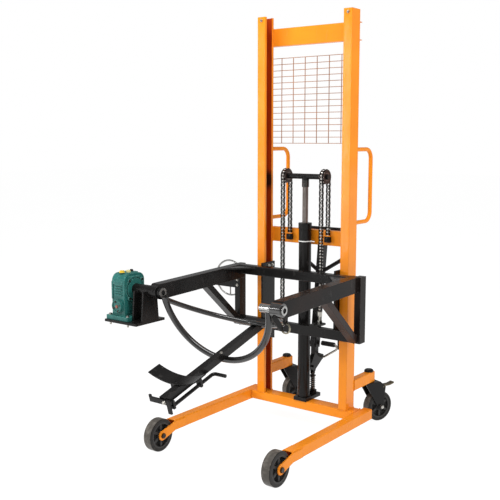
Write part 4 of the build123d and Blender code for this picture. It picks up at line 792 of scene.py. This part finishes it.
# %% Helpers for bolts
def add_bar(bm, place, segments, foot_radius, top_radius, length):
    return bmesh.ops.create_cone(
        bm, cap_ends=True, segments=segments, radius1=foot_radius, radius2=top_radius,
        depth=length, matrix=place @ Matrix.Translation((0, 0, length / 2))
    )["verts"]


def add_bolt(bm, centre, direction, head_radius):
    place = facing(direction, centre)
    washer = 0.25 * head_radius
    head = 0.75 * head_radius
    add_bar(bm, place, 16, 1.25 * head_radius, 1.2 * head_radius, washer)
    above_washer = place @ Matrix.Translation((0, 0, washer))
    hexagon = add_bar(bm, above_washer, 6, head_radius, head_radius, head)
    outward = place.to_3x3() @ Vector((0, 0, 1))
    top = max((vert.co - place.translation).dot(outward) for vert in hexagon)
    crown = [vert for vert in hexagon if (vert.co - place.translation).dot(outward) > top - head / 4]
    rim = {edge for vert in crown for edge in vert.link_edges if edge.other_vert(vert) in crown}
    round_edges(bm, rim, 0.15 * head_radius)


def add_stud(bm, centre, direction, radius, length):
    verts = add_bar(bm, facing(direction, centre), 12, radius, radius, length)
    round_edges(bm, edges_of(verts), 0.2 * radius, segments=1)


# %% [markdown]
# The reducer is a casting: short cooling ribs and a raised panel on its front, a flange round its
# top cover, bosses with bolts round the output shaft, and a ridge down each front corner.
# The CAD case has only the main form, so these sit on its faces as blocks and rings, with all
# edges rounded so that they look cast.

# %% Reducer casting details
case_low, case_high = corners("gear_case")
gear_x = joints["handwheel_turn"]["pos_m"][0]
worm_z = joints["handwheel_turn"]["pos_m"][2]
body_half_width = 0.042
body_half_length = 0.068
face_y = axle_y - body_half_length
case_top = case_high.z
cast_rounding = 0.003

fin_count = 5
fin_pitch = 0.0124
first_fin_z = worm_z + 0.054
fin_x = gear_x + 0.004
fin_size = (0.046, 0.012, 0.0050)
fin_rounding = 0.0018
worm_face_y = face_y - 0.012
panel_z = case_top - 0.043
panel_size = (1.6 * body_half_width, 0.008, 0.020)
ridge_x = body_half_width - 0.0035
ridge_z = worm_z + 0.075
ridge_size = (0.011, 0.010, 0.088)
cover_x = body_half_width + 0.001
flange_z = case_top - 0.017
flange_size = (0.009, 0.074, 0.010)
lid_size = (0.062, 0.078, 0.007)
lid_rounding = 0.0025
boss_count = 4
boss_circle = 0.0605
boss_radius = 0.0090
boss_height = 0.010


def boss_place(boss, x):
    angle = radians(45 + 360 * boss / boss_count)
    return (x, axle_y + boss_circle * cos(angle), axle_z + boss_circle * sin(angle))


bm = bmesh.new()
for fin in range(fin_count):
    add_block(bm, (fin_x, face_y - 0.001, first_fin_z + fin_pitch * fin), fin_size, fin_rounding)
add_ring(bm, (gear_x, worm_face_y, worm_z), (0, -1, 0), inner=0.0265, outer=0.0312, thickness=0.007)
add_block(bm, (gear_x, face_y - 0.0005, panel_z), panel_size, cast_rounding)
for side in (-1, 1):
    add_block(bm, (gear_x + side * ridge_x, face_y + 0.001, ridge_z), ridge_size, cast_rounding)
    side_x = gear_x + side * cover_x
    add_block(bm, (side_x, axle_y, flange_z), flange_size, cast_rounding)
    add_ring(bm, (side_x, axle_y, axle_z), (side, 0, 0), inner=0.0575, outer=0.0635, thickness=0.010)
    for boss in range(boss_count):
        boss_foot = boss_place(boss, gear_x + side * body_half_width)
        add_stud(bm, boss_foot, (side, 0, 0), boss_radius, boss_height)
add_block(bm, (gear_x, axle_y, case_top), lid_size, lid_rounding)
make_piece("reducer_ribs", bm, [green_casting], "carriage")

# %% [markdown]
# Each boss carries a bolt, and four more hold the round cover in front of the worm. The bolts
# take their places from the circle of the bosses, so a bolt cannot miss its boss.

# %% Reducer bolts
cover_bolt_head = 0.0050
cover_bolt_count = 4
cover_bolt_circle = 0.0235
sight_z = worm_z - 0.002
sight_y = worm_face_y + 0.001
bm = bmesh.new()
for boss in range(boss_count):
    for side in (-1, 1):
        boss_top = boss_place(boss, gear_x + side * (body_half_width + boss_height))
        add_bolt(bm, boss_top, (side, 0, 0), cover_bolt_head)
for bolt in range(cover_bolt_count):
    angle = radians(20 + 360 * bolt / cover_bolt_count)
    bolt_x = gear_x + cover_bolt_circle * cos(angle)
    add_bolt(bm, (bolt_x, sight_y, sight_z + cover_bolt_circle * sin(angle)), (0, -1, 0), cover_bolt_head)
make_piece("reducer_bolts", bm, [chain_steel], "carriage")

# %% [markdown]
# Small plastic parts give the reducer its colour spots: a yellow filler plug and a paler one on
# top, and a dull red oil sight in the worm cover. Plastic needs little more than colour,
# gloss and a faint mottling. A dark breather stands behind the plugs.

# %% Plastics
def plastic(name, bright, deep, roughness):
    finish = Finish(name)
    mottle = finish.noise(150.0, 3.0)
    finish.set(Base_Color=finish.mix(mottle, bright, deep), Roughness=roughness + mottle * 0.1)
    finish.bump(mottle, 0.08, 0.0004)
    return finish


yellow_plastic = plastic("yellow_plastic", colour(0.74, 0.52, 0.035), colour(0.62, 0.40, 0.02), 0.35)
pale_plastic = plastic("pale_yellow_plastic", colour(0.72, 0.66, 0.30), colour(0.58, 0.52, 0.22), 0.35)
red_plastic = plastic("red_plastic", colour(0.30, 0.10, 0.07), colour(0.20, 0.06, 0.045), 0.3)
white_plastic = plastic("white_plastic", colour(0.80, 0.80, 0.78), colour(0.68, 0.68, 0.66), 0.4)
print("materials in the file", len(bpy.data.materials))

# %% [markdown]
# A plug is a collar with a slightly tapered cap on it. The three on the lid differ only in
# place, size and finish, so one loop makes them. The sight is one more cap, facing forward.

# %% Reducer plugs
lid_top = case_top + 0.0035
collar_height = 0.003
plug_height = 0.007
sight_radius = 0.0085
sight_height = 0.005


def add_plug(bm, centre, direction, radius, height):
    verts = add_bar(bm, facing(direction, centre), 20, radius, 0.9 * radius, height)
    round_edges(bm, edges_of(verts), 0.16 * height)


plugs = (
    ("filler_plug", yellow_plastic, (0.0, -0.041), 0.0125),
    ("vent_plug", pale_plastic, (0.014, -0.012), 0.0105),
    ("breather", chain_steel, (0.006, 0.018), 0.0085),
)
for plug_name, finish, (plug_x, plug_y), plug_radius in plugs:
    bm = bmesh.new()
    plug_foot = Vector((gear_x + plug_x, axle_y + plug_y, lid_top))
    add_plug(bm, plug_foot, (0, 0, 1), 1.15 * plug_radius, collar_height)
    add_plug(bm, plug_foot + Vector((0, 0, collar_height)), (0, 0, 1), plug_radius, plug_height)
    make_piece(plug_name, bm, [finish], "carriage")
bm = bmesh.new()
add_plug(bm, (gear_x, sight_y, sight_z), (0, -1, 0), sight_radius, sight_height)
make_piece("oil_sight", bm, [red_plastic], "carriage")

# %% [markdown]
# The reducer's feet are bolted through the platform, and the studs show below it. The left end
# post is bolted to its bracket, and each end post and roller plate has bolts on its inner
# side. They take their places from the boxes of the pieces that they hold.

# %% Bolts on the carriage
foot_top = case_low.z + 0.020
platform_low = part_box("gear_platform")[0][2]
foot_bolt_head = 0.0075
foot_stud_radius = 0.0055
foot_stud_length = 0.018
bm = bmesh.new()
for foot_x in (case_low.x + 0.014, case_high.x - 0.012):
    for foot_y in (case_low.y + 0.016, case_high.y - 0.016):
        add_bolt(bm, (foot_x, foot_y, foot_top), (0, 0, 1), foot_bolt_head)
        add_stud(bm, (foot_x, foot_y, platform_low), (0, 0, -1), foot_stud_radius, foot_stud_length)
make_piece("foot_bolts", bm, [zinc_plate], "carriage")

lower_low, lower_high = corners("lower_beam")
plate_low, plate_high = corners("roller_plate_right")
end_post_inner = lower_high.x
end_post_front = lower_low.y
end_post_middle = end_post_inner + 0.017
post_bolt_head = 0.0065
side_bolt_head = 0.0060
plate_bolt_head = 0.0070
side_bolt_z = 0.790
plate_bolt_z = plate_high.z - 0.018
bm = bmesh.new()
for bolt_z in (0.720, 0.750):
    add_bolt(bm, (-end_post_middle, end_post_front, bolt_z), (0, -1, 0), post_bolt_head)
for side in (-1, 1):
    side_place = (side * end_post_inner, end_post_front + 0.012, side_bolt_z)
    add_bolt(bm, side_place, (-side, 0, 0), side_bolt_head)
    for bolt_y in (0.020, 0.052):
        add_bolt(bm, (side * plate_low.x, bolt_y, plate_bolt_z), (-side, 0, 0), plate_bolt_head)
make_piece("carriage_bolts", bm, [zinc_plate], "carriage")

# %% [markdown]
# The mast has a bolt through each post near its top. The top crossbeam is a channel behind the
# posts, and the ends of its flanges show past them, so short pieces of channel continue it.

# %% Mast top
beam_low, beam_high = corners("top_crossbeam")
beam_wall = 0.004
beam_end = 0.272
beam_rounding = 0.0008
end_length = beam_end - beam_high.x
end_depth = beam_high.y - beam_low.y
post_middle = (post_low.x + post_high.x) / 2
top_bolt_z = post_high.z - 0.018
bm = bmesh.new()
for side in (-1, 1):
    add_bolt(bm, (side * post_middle, 0, top_bolt_z), (0, -1, 0), post_bolt_head)
make_piece("mast_top_bolts", bm, [zinc_plate], "frame")

bm = bmesh.new()
for side in (-1, 1):
    end_x = side * (beam_high.x + end_length / 2)
    for end_z in (beam_low.z + beam_wall / 2, beam_high.z - beam_wall / 2):
        flange_place = (end_x, (beam_low.y + beam_high.y) / 2, end_z)
        add_block(bm, flange_place, (end_length, end_depth, beam_wall), beam_rounding)
    web_place = (end_x, beam_low.y + beam_wall / 2, (beam_low.z + beam_high.z) / 2)
    add_block(bm, web_place, (end_length, beam_wall, beam_high.z - beam_low.z), beam_rounding)
make_piece("top_beam_ends", bm, [orange_enamel], "frame")

# %% [markdown]
# The cradle hangs tipped, nose down. Its spine has a bolt on its top, and the rim hook has one
# on its front. Both are placed in the cradle's own directions, along the spine
# and down through it, because in the room's directions every number would hide the tilt.

# %% Bolts on the cradle
cradle_tilt = radians(16.3)
spine_way = Vector((0, -cos(cradle_tilt), -sin(cradle_tilt)))
depth_way = Vector((0, sin(cradle_tilt), -cos(cradle_tilt)))
cradle_axis = Vector(joints["cradle_tip"]["pos_m"])
spine_top = 0.2545
spine_bolt_along = 0.028
hook_face = 0.4403
hook_bar = 0.272
hook_bolt_x = 0.004
hook_bolt_head = 0.0080


def cradle_place(x, along, deep):
    return cradle_axis + Vector((x, 0, 0)) + spine_way * along + depth_way * deep


bm = bmesh.new()
add_bolt(bm, cradle_place(0.0, spine_bolt_along, spine_top), -depth_way, post_bolt_head)
make_piece("spine_bolts", bm, [zinc_plate], "cradle")
bm = bmesh.new()
add_bolt(bm, cradle_place(hook_bolt_x, hook_face, hook_bar), spine_way, hook_bolt_head)
make_piece("hook_bolt", bm, [zinc_plate], "hook")

# %% [markdown]
# Each caster wheel turns on a zinc axle whose nuts show outside the fork's cheeks. The nuts follow
# the wheel's joint: the same distance along the axle to each side of its middle.

# %% Axle nuts
axle_nut_out = 0.036
axle_nut_head = 0.0100
for side in ("left", "right"):
    roll = joints[f"caster_wheel_{side}_roll"]
    bm = bmesh.new()
    for way in (-1, 1):
        axle_way = Vector(roll["axis"]) * way
        add_bolt(bm, Vector(roll["pos_m"]) + axle_way * axle_nut_out, axle_way, axle_nut_head)
    make_piece(f"caster_nuts_{side}", bm, [zinc_plate], f"caster_{side}")

# %% [markdown]
# A black block is bolted over each chain lug on the middle crossbeam, and a white plastic tie is
# pulled round the cylinder at the same height. The tie is a thin ring with a lock block and a
# short tail.

# %% Chain end blocks and cylinder tie
mid_low, mid_high = corners("mid_crossbeam")
mid_front = beam_low.y
block_y = (mid_low.y + mid_front) / 2 - 0.0015
block_z = (mid_low.z + mid_high.z) / 2 - 0.006
block_size = (0.036, mid_front - mid_low.y + 0.004, 0.032)
block_rounding = 0.004
block_bolt_y = mid_low.y - 0.0030
bm = bmesh.new()
for side in (-1, 1):
    add_block(bm, (side * chain_x, block_y, block_z), block_size, block_rounding)
    add_bolt(bm, (side * chain_x, block_bolt_y, block_z), (0, -1, 0), side_bolt_head)
make_piece("chain_end_blocks", bm, [black_enamel], "frame")

cylinder_low, cylinder_high = corners("lift_cylinder")
cylinder_y = (cylinder_low.y + cylinder_high.y) / 2
tube_radius = 0.0325
tie_z = 0.978
tie_width = 0.005
tie_thickness = 0.0016
lock_x = tube_radius + 0.004
lock_size = (0.006, 0.009, 0.008)
tail_size = (0.024, tie_thickness, tie_width)
bm = bmesh.new()
add_ring(bm, (0, cylinder_y, tie_z), (0, 0, 1), tube_radius, tube_radius + tie_thickness, tie_width)
add_block(bm, (lock_x, cylinder_y, tie_z), lock_size, 0.001)
add_block(bm, (lock_x + 0.011, cylinder_y - 0.001, tie_z), tail_size, 0.0004)
make_piece("cylinder_tie", bm, [white_plastic], "frame")

# %% [markdown]
# Tubes are welded where they meet. A weld bead is a row of overlapping lumps, each one a small
# sphere, so that the row looks like the ripples a welder leaves. It is painted with the tubes.

# %% Weld beads
thin_bead = 0.005
bead = 0.006
thick_bead = 0.007


def add_weld(bm, start, end, width):
    run = Vector(end) - Vector(start)
    lumps = max(2, round(run.length / (0.55 * width)))
    for lump in range(lumps + 1):
        place = Matrix.Translation(Vector(start) + run * (lump / lumps))
        bmesh.ops.create_icosphere(bm, subdivisions=2, radius=width / 2, matrix=place)


def upright_weld(bm, x, y, low, high, width):
    add_weld(bm, (x, y, low), (x, y, high), width)


leg_low, leg_high = corners("leg_right")
leg_top = leg_high.z
base_low, base_high = corners("base_crossbeam")
arm_low, arm_high = corners("caster_arms")
front = post_low.y
back = post_high.y
bm = bmesh.new()
for side in (-1, 1):
    for base_y in (base_low.y, base_high.y):
        upright_weld(bm, side * leg_low.x, base_y, base_low.z, base_high.z, bead)
    post_in = side * post_low.x
    post_out = side * post_high.x
    add_weld(bm, (post_in, back, leg_top), (post_out, back, leg_top), bead)
    add_weld(bm, (post_in, front, leg_top), (post_out, front, leg_top), thin_bead)
    add_weld(bm, (post_out, front, leg_top), (post_out, back, leg_top), thin_bead)
    add_weld(bm, (post_in, back, arm_high.z), (post_out, back, arm_high.z), bead)
    upright_weld(bm, post_out, back, arm_low.z, arm_high.z, bead)
    upright_weld(bm, post_in, back, beam_low.z, beam_high.z, thin_bead)
    upright_weld(bm, post_in, back, mid_low.z, mid_high.z, thin_bead)
make_piece("frame_welds", bm, [orange_enamel], "frame")

post_weld_length = 0.050
brace_weld_height = 0.042
bm = bmesh.new()
for side, brace in ((-1, "arm_brace_left"), (1, "arm_brace_right")):
    low, high = corners(brace)
    inner = side * end_post_inner
    upright_weld(bm, inner, lower_low.y, lower_low.z, lower_low.z + post_weld_length, bead)
    brace_foot = low.z + brace_weld_height
    add_weld(bm, (low.x, high.y, brace_foot), (high.x, high.y, brace_foot), thick_bead)
    add_weld(bm, (low.x, low.y, high.z), (high.x, low.y, high.z), thick_bead)
make_piece("carriage_welds", bm, [black_enamel], "carriage")

# %% [markdown]
# The photograph's camera was worked out from the mast, the legs and the wheels. It stands in
# front and to the right, a little above the arms, and looks slightly down. The Standard view
# transform keeps the paint as strong as in the photograph and the background pure white.

# %% Camera
camera_place = (2.3264, -3.5390, 1.5020)
camera_view = Vector((-0.59499, 0.79261, -0.13325))
camera_data = bpy.data.cameras.new("camera")
camera_data.sensor_width = 36.0
camera_data.lens = 59.57
camera = bpy.data.objects.new("camera", camera_data)
camera.location = camera_place
camera.rotation_euler = camera_view.to_track_quat("-Z", "Y").to_euler()
bpy.context.collection.objects.link(camera)
bpy.context.scene.camera = camera
bpy.context.scene.view_settings.view_transform = "Standard"
print("camera", [round(value, 3) for value in camera.location])

# %% [markdown]
# A product photograph like this one is taken in a white room. The camera sees pure white behind
# the machine, while the room that lights it is dimmer, so that black paint stays black.

# %% Room
room_light = 0.38
white = colour(1.0, 1.0, 1.0)
world = bpy.data.worlds.new("white_room")
world.use_nodes = True
sky = world.node_tree.nodes["Background"]
sky.inputs["Color"].default_value = white
seen = world.node_tree.nodes.new("ShaderNodeLightPath")
level = world.node_tree.nodes.new("ShaderNodeMapRange")
level.inputs["To Min"].default_value = room_light
level.inputs["To Max"].default_value = 1.0
world.node_tree.links.new(seen.outputs["Is Camera Ray"], level.inputs["Value"])
world.node_tree.links.new(level.outputs["Result"], sky.inputs["Strength"])
bpy.context.scene.world = world
print("room light", room_light)

# %% [markdown]
# A large soft box stands in front on the left and a second one on the right. These two light
# the faces but are kept out of the gloss, because in a flat black top they would show as white
# sheets. A long box hangs overhead, which draws the bright lines along the round tubes, and
# two narrow upright strips do the same for the fronts of the mast posts.

# %% Lamps
def soft_box(name, place, aim, width, length, power, mirrored=True):
    data = bpy.data.lights.new(name, "AREA")
    data.shape = "RECTANGLE"
    data.size = width
    data.size_y = length
    data.energy = power
    lamp = bpy.data.objects.new(name, data)
    lamp.visible_glossy = mirrored
    lamp.location = place
    lamp.rotation_euler = (Vector(aim) - Vector(place)).to_track_quat("-Z", "Y").to_euler()
    bpy.context.collection.objects.link(lamp)


soft_box("front_box", (-3.5, -2.8, 1.6), (0, 0, 1.0), 1.4, 1.4, 100.0, mirrored=False)
soft_box("side_box", (4.2, -0.9, 2.6), (0, -0.1, 1.0), 2.0, 2.0, 100.0, mirrored=False)
soft_box("right_strip", (-1.86, -3.54, 1.5), (0.24, 0, 1.5), 0.07, 2.2, 9.0)
soft_box("left_strip", (-2.86, -3.54, 1.5), (-0.26, 0, 1.5), 0.07, 2.2, 4.0)
soft_box("top_box", (0, -1.7, 4.2), (0, -0.5, 0), 3.4, 1.3, 110.0)
print("lamps", len(bpy.data.lights))

# %% [markdown]
# The floor is pale and has no edge in sight. It glows a little, so that it is as white as the
# room behind it and no horizon shows, and it still takes a faint shadow under the wheels.

# %% Floor
floor_half = 30.0
floor_glow = 0.93
floor_finish = Finish("pale_floor")
floor_tone = floor_finish.noise(0.8, 2.0)
floor_base = floor_finish.mix(floor_tone, colour(0.16, 0.16, 0.16), colour(0.18, 0.18, 0.18))
floor_finish.set(Base_Color=floor_base, Roughness=0.9, Specular_IOR_Level=0.0)
floor_finish.set(Emission_Color=white, Emission_Strength=floor_glow)
bm = bmesh.new()
bmesh.ops.create_grid(bm, x_segments=4, y_segments=4, size=floor_half)
floor_mesh = bpy.data.meshes.new("floor")
bm.to_mesh(floor_mesh)
bm.free()
floor_mesh.materials.append(floor_finish.material)
floor = bpy.data.objects.new("floor", floor_mesh)
bpy.context.collection.objects.link(floor)
print("floor", 2 * floor_half, "metres wide")
